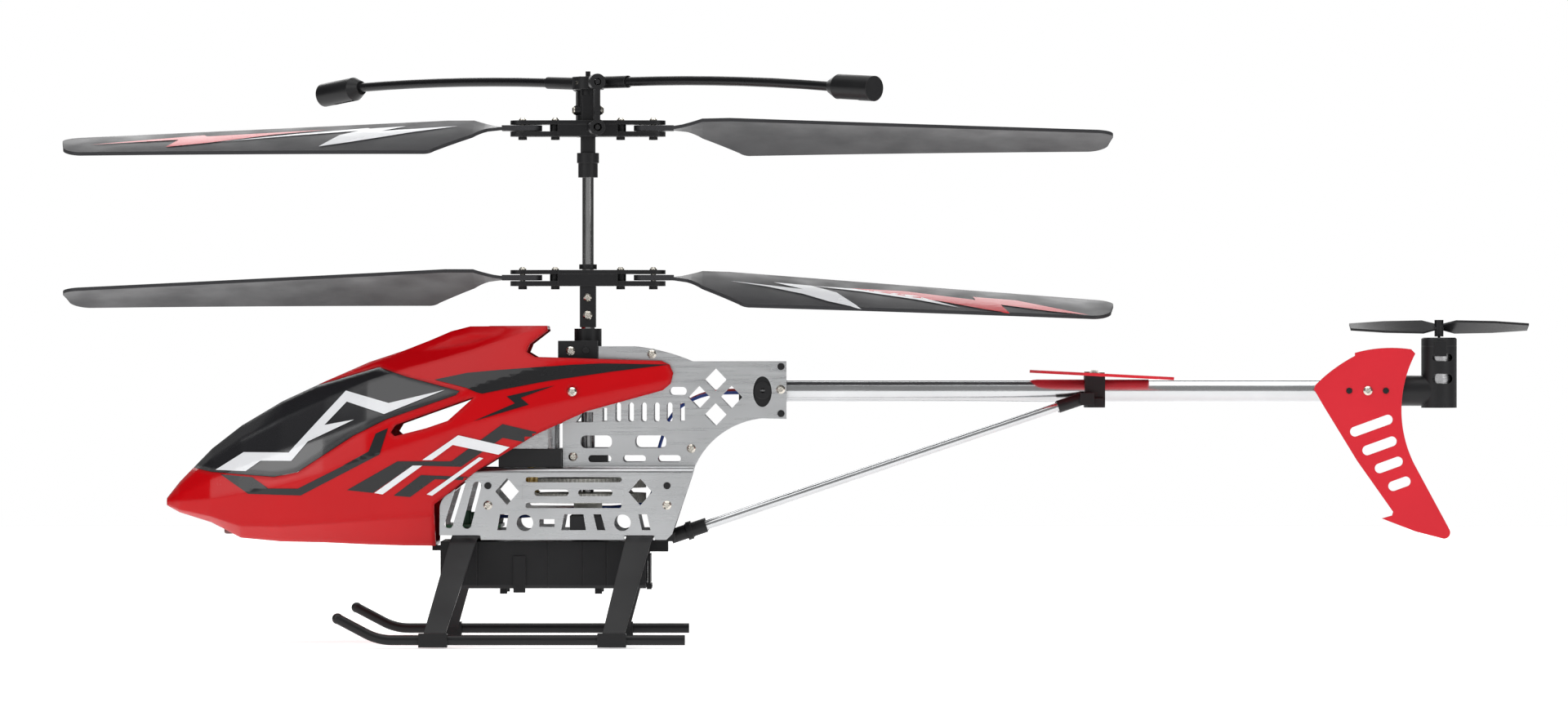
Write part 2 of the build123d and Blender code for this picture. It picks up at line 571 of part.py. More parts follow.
FLYBAR_HUB_HALF = 21.3
RING_RADIUS = 5.8
with BuildPart() as flybar_hub:
    with BuildSketch(Plane(origin=(MAST_X, 0, FLYBAR_Z - 2.4), z_dir=(0, 0, 1))):
        Circle(RING_RADIUS)
    extrude(amount=4.6)
    for sense, slope, _ in ROD_SHAPES:
        with BuildSketch(rod_plane(sense, slope).offset(-2.9)):
            Circle(2.25)
        extrude(amount=FLYBAR_HUB_HALF - ROD_START + 2.9)
        with BuildSketch(rod_plane(sense, slope)):
            Circle(ROD_RADIUS)
        extrude(amount=FLYBAR_HUB_HALF, mode=Mode.SUBTRACT)
    for side in (0, 180):
        with BuildSketch(horizontal_plane(4.6, LINK_ANGLE + side, FLYBAR_Z)):
            Rectangle(3.2, 2.6)
        extrude(amount=LINK_RADIUS - 4.6 - 2.4)
        with BuildSketch(horizontal_plane(4.6, LINK_ANGLE + side, FLYBAR_Z)):
            Circle(0.9)
        extrude(amount=LINK_RADIUS - 4.6 + 1.6)
    with BuildSketch(Plane(origin=(MAST_X, 0, FLYBAR_Z), z_dir=(0, 0, 1))):
        Circle(3.7)
    extrude(amount=5, both=True, mode=Mode.SUBTRACT)
    with BuildSketch(horizontal_plane(-10, TILT_AXIS_ANGLE, FLYBAR_Z)):
        Circle(0.8)
    extrude(amount=20, mode=Mode.SUBTRACT)
save(flybar_hub, "flybar_hub")

# Each weight starts on its rod and points along it, a little drooped.
WEIGHT_ENDS = [(flybar_point(125.4, 200.3), flybar_point(FLYBAR_HALF_LENGTH, 198.9)),
               (flybar_point(-125.4, 206.8), flybar_point(-FLYBAR_HALF_LENGTH, 204.6))]
with BuildPart() as flybar_weights:
    for start, end in WEIGHT_ENDS:
        axis = Vector(*end) - Vector(*start)
        base = Plane(origin=start, z_dir=axis)
        cone_length = 4.0
        with Locations(base):
            Cone(2.6, WEIGHT_RADIUS, cone_length, align=UPWARD)
        with Locations(base.offset(cone_length)):
            Cylinder(WEIGHT_RADIUS, axis.length - cone_length, align=UPWARD)
        with Locations(base):
            Cylinder(ROD_RADIUS, 1.2, mode=Mode.SUBTRACT)
        with Locations(base.offset(3.0)):
            Cylinder(2.6, 14.0, align=UPWARD, mode=Mode.SUBTRACT)
        add(flybar_rods.part, mode=Mode.SUBTRACT)
        slot_middle = Vector(*start) + axis * 0.42 - Vector(0, 0, WEIGHT_RADIUS)
        with Locations(Location(tuple(slot_middle), (0, 0, FLYBAR_ANGLE))):
            Box(11.0, 2.6, 5.0, mode=Mode.SUBTRACT)
save(flybar_weights, "flybar_weights")

with BuildPart() as flybar_weight_inserts:
    for start, end in WEIGHT_ENDS:
        axis = Vector(*end) - Vector(*start)
        with Locations(Plane(origin=start, z_dir=axis).offset(3.05)):
            Cylinder(2.55, 13.9, align=UPWARD)
save(flybar_weight_inserts, "flybar_weight_inserts")


# =============================================================== links between flybar and hub
def link_rod(angle):
    """A dog-bone link with an eye at each end, its eyes turn on horizontal pins."""
    eye_thickness = 3.0
    hole_top = 1.35
    hole_bottom = 1.6
    plane = horizontal_plane(LINK_RADIUS - eye_thickness / 2, angle, 0)
    with BuildSketch(plane) as profile:
        with Locations((0, FLYBAR_Z), (0, UPPER_ROTOR_Z)):
            Circle(2.95)
        with Locations((0, (FLYBAR_Z + UPPER_ROTOR_Z) / 2)):
            Rectangle(1.95, FLYBAR_Z - UPPER_ROTOR_Z - 5.0)
        with Locations((0, FLYBAR_Z)):
            Circle(hole_top, mode=Mode.SUBTRACT)
        with Locations((0, UPPER_ROTOR_Z)):
            Circle(hole_bottom, mode=Mode.SUBTRACT)
    extrude(profile.sketch, amount=eye_thickness)


with BuildPart() as link_near:
    link_rod(LINK_ANGLE)
save(link_near, "link_near")

with BuildPart() as link_far:
    link_rod(LINK_ANGLE + 180)
save(link_far, "link_far")


# =============================================================== main rotor blades
def blade_pitch(reach):
    """Pitch in degrees at a reach from the mast: flat in the slot, then steep, easing towards the tip."""
    neck_start = 31.0
    neck_end = 42.0
    if reach <= neck_start:
        return 0.0
    steep = 21.8 - 7.2 * max(0.0, reach - neck_end) / (ROTOR_RADIUS - neck_end)
    return steep * min(1.0, (reach - neck_start) / (neck_end - neck_start))


BLADE_STATIONS = (30.0, 34.5, 38.0, 42.0, 80.0, 120.0, 160.0, 196.0)


def blade_section(reach, sense, tip_drop, direction, slot_z):
    """A thin cambered strip across the blade, wider than the blade itself."""
    half_thickness = 0.6
    camber = 1.3
    front = 12.0
    back = -26.0
    drop = tip_drop * max(0.0, reach - BLADE_PIN_X) / (190.0 - BLADE_PIN_X)
    pitch = math.radians(blade_pitch(reach))
    camber = camber * min(1.0, max(0.1, (reach - 31.0) / 11.0))

    def place(chordwise, height):
        y = chordwise * math.cos(pitch) - height * math.sin(pitch)
        z = chordwise * math.sin(pitch) + height * math.cos(pitch)
        return (sense * direction * y, slot_z - drop + z)

    with BuildSketch(cross_plane(MAST_X + direction * reach)) as profile:
        with BuildLine():
            middle = (front + back) / 2
            ThreePointArc(place(back, half_thickness), place(middle, half_thickness + camber),
                          place(front, half_thickness))
            Line(place(front, half_thickness), place(front, -half_thickness))
            ThreePointArc(place(front, -half_thickness), place(middle, camber - half_thickness),
                          place(back, -half_thickness))
            Line(place(back, -half_thickness), place(back, half_thickness))
        make_face()
    return profile.sketch


def blade_outline(sense, direction):
    """Plan form: straight leading edge, trailing edge swept out to a corner, rounded tip."""
    lead = sense * direction

    def place(reach, chordwise):
        return (MAST_X + direction * reach, lead * chordwise)

    with BuildLine() as outline:
        Polyline(place(31.0, 4.4), place(52.0, 8.0), place(186.0, 6.2))
        ThreePointArc(place(186.0, 6.2), place(191.0, 4.2), place(ROTOR_RADIUS, -1.0))
        Line(place(ROTOR_RADIUS, -1.0), place(191.5, -12.0))
        ThreePointArc(place(191.5, -12.0), place(188.6, -16.2), place(183.5, -17.8))
        Polyline(place(183.5, -17.8), place(60.0, -22.0))
        ThreePointArc(place(60.0, -22.0), place(57.6, -21.7), place(55.6, -20.2))
        Polyline(place(55.6, -20.2), place(36.5, -5.2), place(31.0, -4.4), place(31.0, 4.4))
    make_face(outline.edges())


def blade(sense, tip_drop, direction, slot_z):
    """One blade along +X or -X. Sense is 1 for counter-clockwise seen from above, -1 for clockwise."""
    tab_half = 1.0
    loft([blade_section(reach, sense, tip_drop, direction, slot_z) for reach in BLADE_STATIONS], ruled=True)
    with BuildSketch(Plane.XY.offset(slot_z)) as profile:
        blade_outline(sense, direction)
    extrude(profile.sketch, amount=40, both=True, mode=Mode.INTERSECT)
    with BuildSketch(Plane.XY.offset(slot_z - tab_half)) as profile:
        with Locations((MAST_X + direction * BLADE_PIN_X, 0)):
            SlotOverall(14.4, 8.8)
        with Locations((MAST_X + direction * 28.5, 0)):
            Rectangle(6.0, 8.8)
    extrude(profile.sketch, amount=2 * tab_half)
    with Locations((MAST_X + direction * BLADE_PIN_X, 0, slot_z)):
        Cylinder(1.08, 10, mode=Mode.SUBTRACT)


# Each blade flexes down a little differently at rest.
with BuildPart() as upper_blade_front:
    blade(-1, 6.3, -1, UPPER_ROTOR_Z)
save(upper_blade_front, "upper_blade_front")

with BuildPart() as upper_blade_rear:
    blade(-1, 3.7, 1, UPPER_ROTOR_Z)
save(upper_blade_rear, "upper_blade_rear")

with BuildPart() as lower_blade_front:
    blade(1, 6.7, -1, LOWER_ROTOR_Z)
save(lower_blade_front, "lower_blade_front")

with BuildPart() as lower_blade_rear:
    blade(1, 11.2, 1, LOWER_ROTOR_Z)
save(lower_blade_rear, "lower_blade_rear")

# =============================================================== tail boom, its holder and braces
BOOM_FRONT_X = -20.7
BOOM_REAR_X = 228.0
BOOM_WALL = 0.6
with BuildPart() as tail_boom:
    boom_plane = Plane(origin=(BOOM_FRONT_X, 0, BOOM_Z), z_dir=(1, 0, 0))
    tube(boom_plane, BOOM_RADIUS, BOOM_RADIUS - BOOM_WALL, BOOM_REAR_X - BOOM_FRONT_X)
save(tail_boom, "tail_boom")

with BuildPart() as boom_holder:
    with Locations(((BOOM_FRONT_X + FRAME_REAR_X) / 2, 0, 92.1)):
        Box(FRAME_REAR_X - BOOM_FRONT_X, 2 * upper_half, 20.0)
        Cylinder(3.1, 2 * upper_half + 1.2, rotation=(90, 0, 0))
        Cylinder(BOOM_RADIUS, 30, rotation=(0, 90, 0), mode=Mode.SUBTRACT)
    for x, z in REAR_PINS:
        with Locations((x, 0, z)):
            Cylinder(1.2, 2 * upper_half + 2.6, rotation=(90, 0, 0))
    with Locations((BOOM_FRONT_X / 2 + FRAME_REAR_X / 2, 0, 92.1), (BOOM_SCREW[0], 0, BOOM_SCREW[1])):
        Cylinder(SCREW_HOLE_RADIUS, 40, rotation=(90, 0, 0), mode=Mode.SUBTRACT)
    with Locations((-12, 0, BOOM_Z)):
        Cylinder(BOOM_RADIUS, 30, rotation=(0, 90, 0), mode=Mode.SUBTRACT)
save(boom_holder, "boom_holder")

CLAMP_X = 109.8
CLAMP_LENGTH = 7.4
STABILIZER_TILT = 2.9
stabilizer_seat = Plane(origin=(CLAMP_X, 0, 97.35)).rotated((0, STABILIZER_TILT, 0))
with BuildPart() as boom_clamp:
    with Locations((CLAMP_X, 0, 92.3)):
        Box(CLAMP_LENGTH, 11.6, 13.0)
    fillet(edges().filter_by(Axis.X), 1.4)
    with Locations((CLAMP_X, 0, 87.6)):
        Box(CLAMP_LENGTH - 1.5, 16.0, 3.4)
    with Locations((CLAMP_X, 0, BOOM_Z)):
        Cylinder(BOOM_RADIUS, 20, rotation=(0, 90, 0), mode=Mode.SUBTRACT)
    with Locations(stabilizer_seat):
        Box(20, 20, 8, align=UPWARD, mode=Mode.SUBTRACT)
        Cylinder(1.1, 10, mode=Mode.SUBTRACT)
save(boom_clamp, "boom_clamp")

BRACE_RADIUS = 1.55
BRACE_START = (-36.0, 12.5, 41.6)
BRACE_END = (99.5, 6.4, 87.2)


def brace_axis(side):
    start = Vector(BRACE_START[0], side * BRACE_START[1], BRACE_START[2])
    end = Vector(BRACE_END[0], side * BRACE_END[1], BRACE_END[2])
    return start, end - start


def brace_rod(side):
    start, along = brace_axis(side)
    with Locations(Plane(origin=start, z_dir=along)):
        Cylinder(BRACE_RADIUS, along.length, align=UPWARD)


def brace_sockets(side):
    """Moulded ends of one brace: a flanged foot under the frame and an eye at the boom clamp."""
    overlap = 3.5
    start, along = brace_axis(side)
    foot = Plane(origin=start, z_dir=along)
    top = Plane(origin=start + along, z_dir=along)
    with Locations(foot.offset(overlap)):
        Cylinder(2.4, 13.5, align=DOWNWARD)
    with Locations(foot.offset(-3.0)):
        Cylinder(3.1, 2.0)
    with Locations(top.offset(-overlap)):
        Cylinder(2.3, 9.5, align=UPWARD)
    with Locations((CLAMP_X - 3.0, side * 9.2, 89.0)):
        Box(5.0, 2.2, 4.6)
    with Locations(foot):
        Cylinder(BRACE_RADIUS, along.length, align=UPWARD, mode=Mode.SUBTRACT)


with BuildPart() as boom_braces:
    brace_rod(-1)
    brace_rod(1)
save(boom_braces, "boom_braces")

with BuildPart() as brace_ends:
    brace_sockets(-1)
    brace_sockets(1)
    add(boom_clamp.part, mode=Mode.SUBTRACT)
    with Locations((-47.6, 0, 38.7)):
        Box(7.2, 2 * lower_half, 3.0)
    with Locations((-50.1, 0, 35.0)):
        Box(6.8, 9.0, 4.0)
    with Locations((-48.8, 0, 37.0)):
        Box(4.2, 9.0, 1.0)
    with Locations((-45.0, 0, 34.6)):
        Cylinder(0.9, 6.0, rotation=(0, 90, 0), mode=Mode.SUBTRACT)
save(brace_ends, "brace_ends")

# =============================================================== stabilizer and tail fin
STABILIZER_THICKNESS = 1.1
with BuildPart() as stabilizer:
    with BuildSketch(stabilizer_seat):
        Polygon((-23.8, 0), (-20.0, 12.0), (-6.0, 44.0), (8.0, 47.0), (21.0, 47.0), (26.9, 42.0),
                (20.0, 14.0), (20.0, -14.0), (26.9, -42.0), (21.0, -47.0), (8.0, -47.0),
                (-6.0, -44.0), (-20.0, -12.0), align=None)
        for lateral in (19.0, 27.0, 35.0):
            with Locations((4.0 + lateral * 0.1, lateral), (4.0 + lateral * 0.1, -lateral)):
                SlotOverall(17.0 - lateral * 0.1, 3.4, mode=Mode.SUBTRACT)
        Circle(1.1, mode=Mode.SUBTRACT)
    extrude(amount=STABILIZER_THICKNESS)
save(stabilizer, "stabilizer")

FIN_Y = -5.8
FIN_THICKNESS = 1.0
FIN_SCREW = (209.7, 92.0)
FIN_PINS = [(202.9, 92.0), (216.3, 92.0)]
FIN_SLOT_TILT = 20
FIN_SLOTS = [((211.0, 79.2), 16.4), ((214.0, 71.8), 13.2), ((217.4, 64.8), 10.7), ((221.3, 57.9), 8.5)]
with BuildPart() as tail_fin:
    with BuildSketch(side_plane(FIN_Y)):
        with BuildLine():
            Line((190.0, 92.5), (190.5, 94.1))
            ThreePointArc((190.5, 94.1), (196.9, 99.7), (205.0, 104.8))
            Line((205.0, 104.8), (205.0, 105.9))
            ThreePointArc((205.0, 105.9), (214.5, 107.6), (225.6, 107.2))
            Line((225.6, 107.2), (227.1, 105.6))
            ThreePointArc((227.1, 105.6), (222.2, 89.0), (226.6, 65.3))
            Line((226.6, 65.3), (239.7, 41.0))
            ThreePointArc((239.7, 41.0), (239.3, 38.5), (237.3, 37.8))
            Polyline((237.3, 37.8), (227.2, 40.4), (214.8, 45.2), (218.6, 46.3), (219.0, 47.6))
            Polyline((219.0, 47.6), (205.8, 66.3), (193.7, 86.1), (190.0, 92.5))
        make_face()
    extrude(amount=FIN_THICKNESS)
    with BuildSketch(side_plane(0)):
        for centre, length in FIN_SLOTS:
            with Locations(Location(centre, FIN_SLOT_TILT)):
                SlotOverall(length, 3.6)
        with Locations(FIN_SCREW, *FIN_PINS):
            Circle(1.1)
    extrude(amount=20, mode=Mode.SUBTRACT)
save(tail_fin, "tail_fin")

# =============================================================== tail motor, its housing and propeller
HOUSING_RADIUS = 6.5
HOUSING_BOTTOM_Z = 85.7
CAP_SEAM_Z = 108.3
CAP_TOP_Z = 111.5
SLEEVE_FRONT_X = 196.0
SLEEVE_RADIUS = 5.6
with BuildPart() as tail_motor_housing:
    with Locations((TAIL_MOTOR_X, 0, HOUSING_BOTTOM_Z)):
        Cylinder(HOUSING_RADIUS, CAP_SEAM_Z - HOUSING_BOTTOM_Z, align=UPWARD)
    with Locations((SLEEVE_FRONT_X, 0, BOOM_Z)):
        Cylinder(SLEEVE_RADIUS, TAIL_MOTOR_X - SLEEVE_FRONT_X, rotation=(0, 90, 0), align=UPWARD)
    with BuildSketch(cross_plane(SLEEVE_FRONT_X - 1)):
        with Locations((0, BOOM_Z)):
            Circle(BOOM_RADIUS)
    extrude(amount=BOOM_REAR_X - SLEEVE_FRONT_X + 1, mode=Mode.SUBTRACT)
    with Locations((TAIL_MOTOR_X, 0, HOUSING_BOTTOM_Z + 2.0)):
        Cylinder(5.1, 30, align=UPWARD, mode=Mode.SUBTRACT)
    with Locations((TAIL_MOTOR_X - 6, 0, BOOM_Z)):
        Cylinder(2.2, 8, rotation=(0, 90, 0), mode=Mode.SUBTRACT)
    for window_z, window_height in ((104.2, 2.7), (96.4, 3.6)):
        with BuildSketch(side_plane(0)):
            with Locations((TAIL_MOTOR_X + 0.8, window_z)):
                SlotOverall(7.4, window_height)
        extrude(amount=12, both=True, mode=Mode.SUBTRACT)
    with BuildSketch(side_plane(0)):
        with Locations(FIN_SCREW):
            Circle(SCREW_HOLE_RADIUS)
    extrude(amount=12, mode=Mode.SUBTRACT)
    for pin in FIN_PINS:
        with BuildSketch(side_plane(-BOOM_RADIUS - 0.6)):
            with Locations(pin):
                Circle(1.0)
        extrude(amount=2.5)
save(tail_motor_housing, "tail_motor_housing")

with BuildPart() as tail_motor_cap:
    with Locations((TAIL_MOTOR_X, 0, CAP_SEAM_Z)):
        Cylinder(HOUSING_RADIUS, CAP_TOP_Z - CAP_SEAM_Z, align=UPWARD)
    chamfer(edges().group_by(Axis.Z)[-1], 0.5)
    with Locations((TAIL_MOTOR_X, -HOUSING_RADIUS + 0.4, 107.4)):
        Box(4.4, 1.6, 5.6)
    with Locations((TAIL_MOTOR_X, 0, 100)):
        Cylinder(HOUSING_RADIUS, CAP_SEAM_Z - 100, align=UPWARD, mode=Mode.SUBTRACT)
        Cylinder(1.6, 20, align=UPWARD, mode=Mode.SUBTRACT)
save(tail_motor_cap, "tail_motor_cap")

with BuildPart() as tail_motor:
    with Locations((TAIL_MOTOR_X, 0, HOUSING_BOTTOM_Z + 2.2)):
        Cylinder(5.0, 20.0, align=UPWARD)
    with Locations((TAIL_MOTOR_X, 0, 80)):
        Cylinder(0.55, 40, align=UPWARD, mode=Mode.SUBTRACT)
save(tail_motor, "tail_motor")

PROP_Z = 115.4
# A tail blade station: reach from the axis, half chord, pitch in degrees.
TAIL_BLADE_STATIONS = [(1.2, 1.6, 38.0), (6.0, 4.4, 30.0), (20.0, 5.0, 22.0), (TAIL_ROTOR_RADIUS, 3.6, 16.0)]
with BuildPart() as tail_rotor:
    with Locations((TAIL_MOTOR_X, 0, 111.9)):
        Cylinder(1.65, 6.1, align=UPWARD)
    with Locations((TAIL_MOTOR_X, 0, 90)):
        Cylinder(0.5, 23, align=UPWARD)
    for direction in (-1, 1):
        for reach, half_chord, pitch in TAIL_BLADE_STATIONS:
            with BuildSketch(cross_plane(TAIL_MOTOR_X + direction * reach)):
                with Locations((0, PROP_Z)):
                    RectangleRounded(2 * half_chord, 0.9, 0.3, rotation=-direction * pitch)
        loft(ruled=True)
save(tail_rotor, "tail_rotor")

# =============================================================== screws of the airframe
CANOPY_SCREW_SEAT_Y = 22.9
with BuildPart() as airframe_screws:
    for side in (-1, 1):
        frame_screw_set(side)
        pan_screw(Plane(origin=(-82.2, side * block_half, 106.6), x_dir=(1, 0, 0), z_dir=(0, side, 0)), 5.0)
        canopy_seat = (CANOPY_SCREW[0], side * CANOPY_SCREW_SEAT_Y, CANOPY_SCREW[1])
        pan_screw(Plane(origin=canopy_seat, x_dir=(1, 0, 0), z_dir=(0, side, 0)), 6.0)
    pan_screw(Plane(origin=(FIN_SCREW[0], FIN_Y - FIN_THICKNESS, FIN_SCREW[1]), x_dir=(1, 0, 0), z_dir=(0, -1, 0)),
              2.2, 1.7)
    pan_screw(stabilizer_seat.offset(STABILIZER_THICKNESS), 1.9, 3.8, 1.0)
save(airframe_screws, "airframe_screws")

# =============================================================== battery box and what is in it
DOOR_HINGE = (-53.5, 20.3)
BOX_FRONT_X = -129.5
BOX_REAR_X = -54.6
BOX_BOTTOM_Z = 19.9
BOX_TOP_Z = 37.05
BOX_HALF = 18.0
BOX_WALL = 1.6
with BuildPart() as battery_box:
    with Locations(((BOX_FRONT_X + BOX_REAR_X) / 2, 0, BOX_BOTTOM_Z)):
        Box(BOX_REAR_X - BOX_FRONT_X, 2 * BOX_HALF, BOX_TOP_Z - BOX_BOTTOM_Z, align=UPWARD)
    chamfer(edges().filter_by(Axis.X).group_by(Axis.Z)[0], 1.2)
    with Locations((BOX_REAR_X - 33.0, 0, BOX_BOTTOM_Z + BOX_WALL)):
        Box(68.0, 2 * (BOX_HALF - BOX_WALL), 12.0, align=UPWARD, mode=Mode.SUBTRACT)
    with Locations(*[(x, side * 12.0, BOX_BOTTOM_Z) for x in (-106.7, -72.0) for side in (-1, 1)]):
        Box(2.6, 3.0, 2.1, align=DOWNWARD)
    with Locations((-100.7, -BOX_HALF - 0.35, 18.4)):
        Box(4.4, 0.9, 13.4, align=UPWARD)
    with Locations((-131.3, 0, 34.3)):
        Box(3.8, 8.0, 1.8)
    for side in (-1, 1):
        with Locations((DOOR_HINGE[0] - 0.1, side * 6.9, DOOR_HINGE[1])):
            Box(1.8, 2.8, 2.0)
    with Locations((DOOR_HINGE[0], 0, DOOR_HINGE[1])):
        Cylinder(0.5, 16.6, rotation=(90, 0, 0))
    rib_places = [(x, side * (BOX_HALF + 0.1), 30.0) for x in (-116.0, -90.5, -77.7, -69.0) for side in (-1, 1)]
    with Locations(*rib_places):
        Box(0.5, 0.6, 30.0, mode=Mode.SUBTRACT)
save(battery_box, "battery_box")

with BuildPart() as battery_pack:
    with Locations((-88.5, 0, 27.4)):
        Box(64.0, 2 * (BOX_HALF - BOX_WALL) - 1.0, 11.0)
    fillet(edges().filter_by(Axis.X), 2.0)
save(battery_pack, "battery_pack")

with BuildPart() as battery_door:
    with Locations((DOOR_HINGE[0], 0, 21.6)):
        Box(0.9, 26.0, 10.4, align=UPWARD)
    with Locations((DOOR_HINGE[0], 0, DOOR_HINGE[1])):
        Cylinder(1.0, 10.0, rotation=(90, 0, 0))
    with Locations((DOOR_HINGE[0], 0, 20.3)):
        Box(0.9, 10.0, 2.0, align=UPWARD)
    with Locations((DOOR_HINGE[0], 0, DOOR_HINGE[1])):
        Cylinder(0.55, 40, rotation=(90, 0, 0), mode=Mode.SUBTRACT)
save(battery_door, "battery_door")

with BuildPart() as receiver_board:
    with Locations((-117.5, 0, 42.0)):
        Box(20.0, 34.0, 1.2, align=UPWARD)
    with Locations((-120.0, 6.0, 43.2), (-113.0, -8.0, 43.2)):
        Box(6.0, 6.0, 1.4, align=UPWARD)
    with Locations((-121.0, -9.0, 43.2)):
        Cylinder(2.4, 5.0, align=UPWARD)
    with Locations((-116.0, 12.0, 43.2)):
        Box(7.0, 4.0, 4.0, align=UPWARD)
save(receiver_board, "receiver_board")

# =============================================================== tail motor wires, from the board through the boom
WIRE_DIAMETER = 1.2


def wire(route):
    """A wire along straight runs joined by arcs as large as the runs allow."""
    points = [Vector(*point) for point in route]
    radii = []
    for before, corner, after in zip(points, points[1:], points[2:]):
        half_turn = math.radians((corner - before).get_angle(after - corner)) / 2
        radii.append(0.45 * min((corner - before).length, (after - corner).length) / math.tan(half_turn))
    print("wire radii", [round(radius, 1) for radius in radii])
    with BuildLine() as path:
        FilletPolyline(*points, radius=radii)
    with BuildSketch(Plane(origin=path.line @ 0, z_dir=path.line % 0)) as profile:
        Circle(WIRE_DIAMETER / 2)
    sweep(profile.sketch, path=path.line)


# Both wires leave the board, rise behind the gears and wander a little inside the boom.
RED_ROUTE = [(-112.5, 12.8, 45.6), (-98.0, 13.2, 45.4), (-84.0, 14.6, 48.4), (-66.0, 14.6, 48.9),
             (-52.6, 11.0, 50.6), (-51.8, 6.0, 66.0), (-46.0, 3.0, 84.0), (-34.0, 1.4, 91.6),
             (-14.0, 0.9, 92.6), (26.0, 1.2, 92.2), (76.0, 0.6, 92.9), (126.0, 1.2, 92.3),
             (176.0, 0.6, 92.8), (210.0, 1.0, 92.2), (231.3, 0.8, 92.5)]
BLUE_ROUTE = [(-112.5, 10.8, 45.6), (-98.0, 10.6, 45.4), (-84.0, 12.8, 48.4), (-66.0, 12.6, 48.9),
              (-52.6, 9.0, 50.6), (-51.8, 4.2, 66.0), (-46.0, 1.0, 84.0), (-34.0, -0.6, 91.0),
              (-14.0, -0.8, 91.4), (26.0, -0.5, 91.0), (76.0, -1.0, 91.5), (126.0, -0.5, 91.0),
              (176.0, -1.0, 91.5), (210.0, -0.7, 91.2), (231.3, -0.8, 91.4)]
with BuildPart() as tail_wire_red:
    wire(RED_ROUTE)
save(tail_wire_red, "tail_wire_red")

with BuildPart() as tail_wire_blue:
    wire(BLUE_ROUTE)
save(tail_wire_blue, "tail_wire_blue")

SWITCH_X = -88.0
with BuildPart() as power_switch:
    with Locations((SWITCH_X, BOX_HALF + 0.9, 31.5)):
        Box(12.0, 1.8, 5.0)
        Box(8.0, 3.0, 2.2, mode=Mode.SUBTRACT)
save(power_switch, "power_switch")

with BuildPart() as power_switch_knob:
    with Locations((SWITCH_X - 1.5, BOX_HALF + 1.5, 31.5)):
        Box(3.0, 2.6, 1.8)
save(power_switch_knob, "power_switch_knob")

# =============================================================== landing gear
STRAP = 2.2
STRUTS = {"landing_strut_front": ((-124.9, -115.2), (-134.0, -126.2), (-135.5, -125.2)),
          "landing_strut_rear": ((-61.4, -51.7), (-69.7, -61.7), (-71.2, -60.9))}
for name, (top_span, foot_span, clamp_span) in STRUTS.items():
    with BuildPart() as strut:
        with BuildSketch(cross_plane(-160)):
            with BuildLine():
                FilletPolyline((-SKID_Y + 0.4, 2.0), (-25.5, 38.2), (25.5, 38.2), (SKID_Y - 0.4, 2.0), radius=8.0)
            trace(line_width=STRAP)
        extrude(amount=130)
        with BuildSketch(side_plane(70)):
            Polygon((top_span[0], 40.0), (top_span[1], 40.0), (foot_span[1], 4.0), (foot_span[1], 0.5),
                    (foot_span[0], 0.5), (foot_span[0], 4.0), align=None)
        extrude(amount=140, mode=Mode.INTERSECT)
        with Locations(*[((clamp_span[0] + clamp_span[1]) / 2, side * SKID_Y, 2.5) for side in (-1, 1)]):
            Box(clamp_span[1] - clamp_span[0], 5.6, 5.0)
        for side in (-1, 1):
            with Locations((-100, side * SKID_Y, 2.6)):
                Cylinder(1.85, 160, rotation=(0, 90, 0), mode=Mode.SUBTRACT)
    save(strut, name)

SKID_RADIUS = 1.85
for side, name in ((-1, "left"), (1, "right")):
    with BuildPart() as skid:
        y = side * SKID_Y
        with BuildLine() as skid_path:
            FilletPolyline((-39.8, y, 2.6), (-150.0, y, 2.6), (-164.6, y, 10.3), radius=20.0)
        with BuildSketch(Plane(origin=(-39.8, y, 2.6), z_dir=(-1, 0, 0))):
            Circle(SKID_RADIUS)
        sweep(path=skid_path.line)
        with Locations((-164.6, y, 10.3)):
            Sphere(2.0)
    save(skid, f"skid_{name}")

# =============================================================== canopy
# A canopy station: place along the machine, half width, bottom, height of the widest crease, top.
CANOPY_STATIONS = [
    (-230.8, 1.6, 49.9, 51.3, 52.6),
    (-226.0, 6.5, 47.4, 51.6, 58.6),
    (-214.0, 13.5, 43.8, 52.5, 70.8),
    (-203.0, 18.0, 38.2, 54.5, 79.3),
    (-188.0, 23.0, 36.9, 57.5, 88.2),
    (-172.0, 26.8, 36.6, 62.0, 95.6),
    (-156.0, 29.2, 35.9, 68.0, 102.6),
    (-142.0, 30.4, 35.5, 72.5, 107.2),
    (-131.0, 30.6, 35.4, 76.0, 110.0),
    (-117.0, 29.4, 35.4, 80.8, 114.0),
    (-100.0, 26.8, 36.0, 85.0, 120.0),
    (-82.0, 23.0, 38.0, 89.0, 126.0),
    (-62.0, 18.8, 44.0, 93.0, 132.0),
    (-42.0, 15.8, 52.0, 97.0, 138.0),
]
CANOPY_REAR_X = -131.3
NOSE_LENS_X = -207.9
HOOD_TOP_Z = 115.8


def canopy_section(x, half_width, bottom, crease, top, inset):
    """Half-round section with a flat belly, a side crease and a narrow roof."""
    width = max(half_width - inset, 0.4)
    low = bottom + inset
    high = max(top - inset, low + 0.6)
    wide = min(max(crease, low + 0.2), high - 0.2)
    right_side = [(0.5 * width, low), (0.88 * width, low + 0.28 * (wide - low)), (width, wide),
                  (0.9 * width, wide + 0.38 * (high - wide)), (0.58 * width, wide + 0.8 * (high - wide)),
                  (0.22 * width, high)]
    left_side = [(-y, z) for y, z in reversed(right_side)]
    with BuildSketch(cross_plane(x)) as profile:
        Polygon(*right_side, *left_side, align=None)
    return profile.sketch


def canopy_body(inset):
    """The nose and its two side tongues, flat on top where the hood is."""
    loft([canopy_section(*station, inset) for station in CANOPY_STATIONS], ruled=True)
    with Locations((-140, 0, 0)):
        Box(300, 80, HOOD_TOP_Z - inset, align=UPWARD, mode=Mode.INTERSECT)


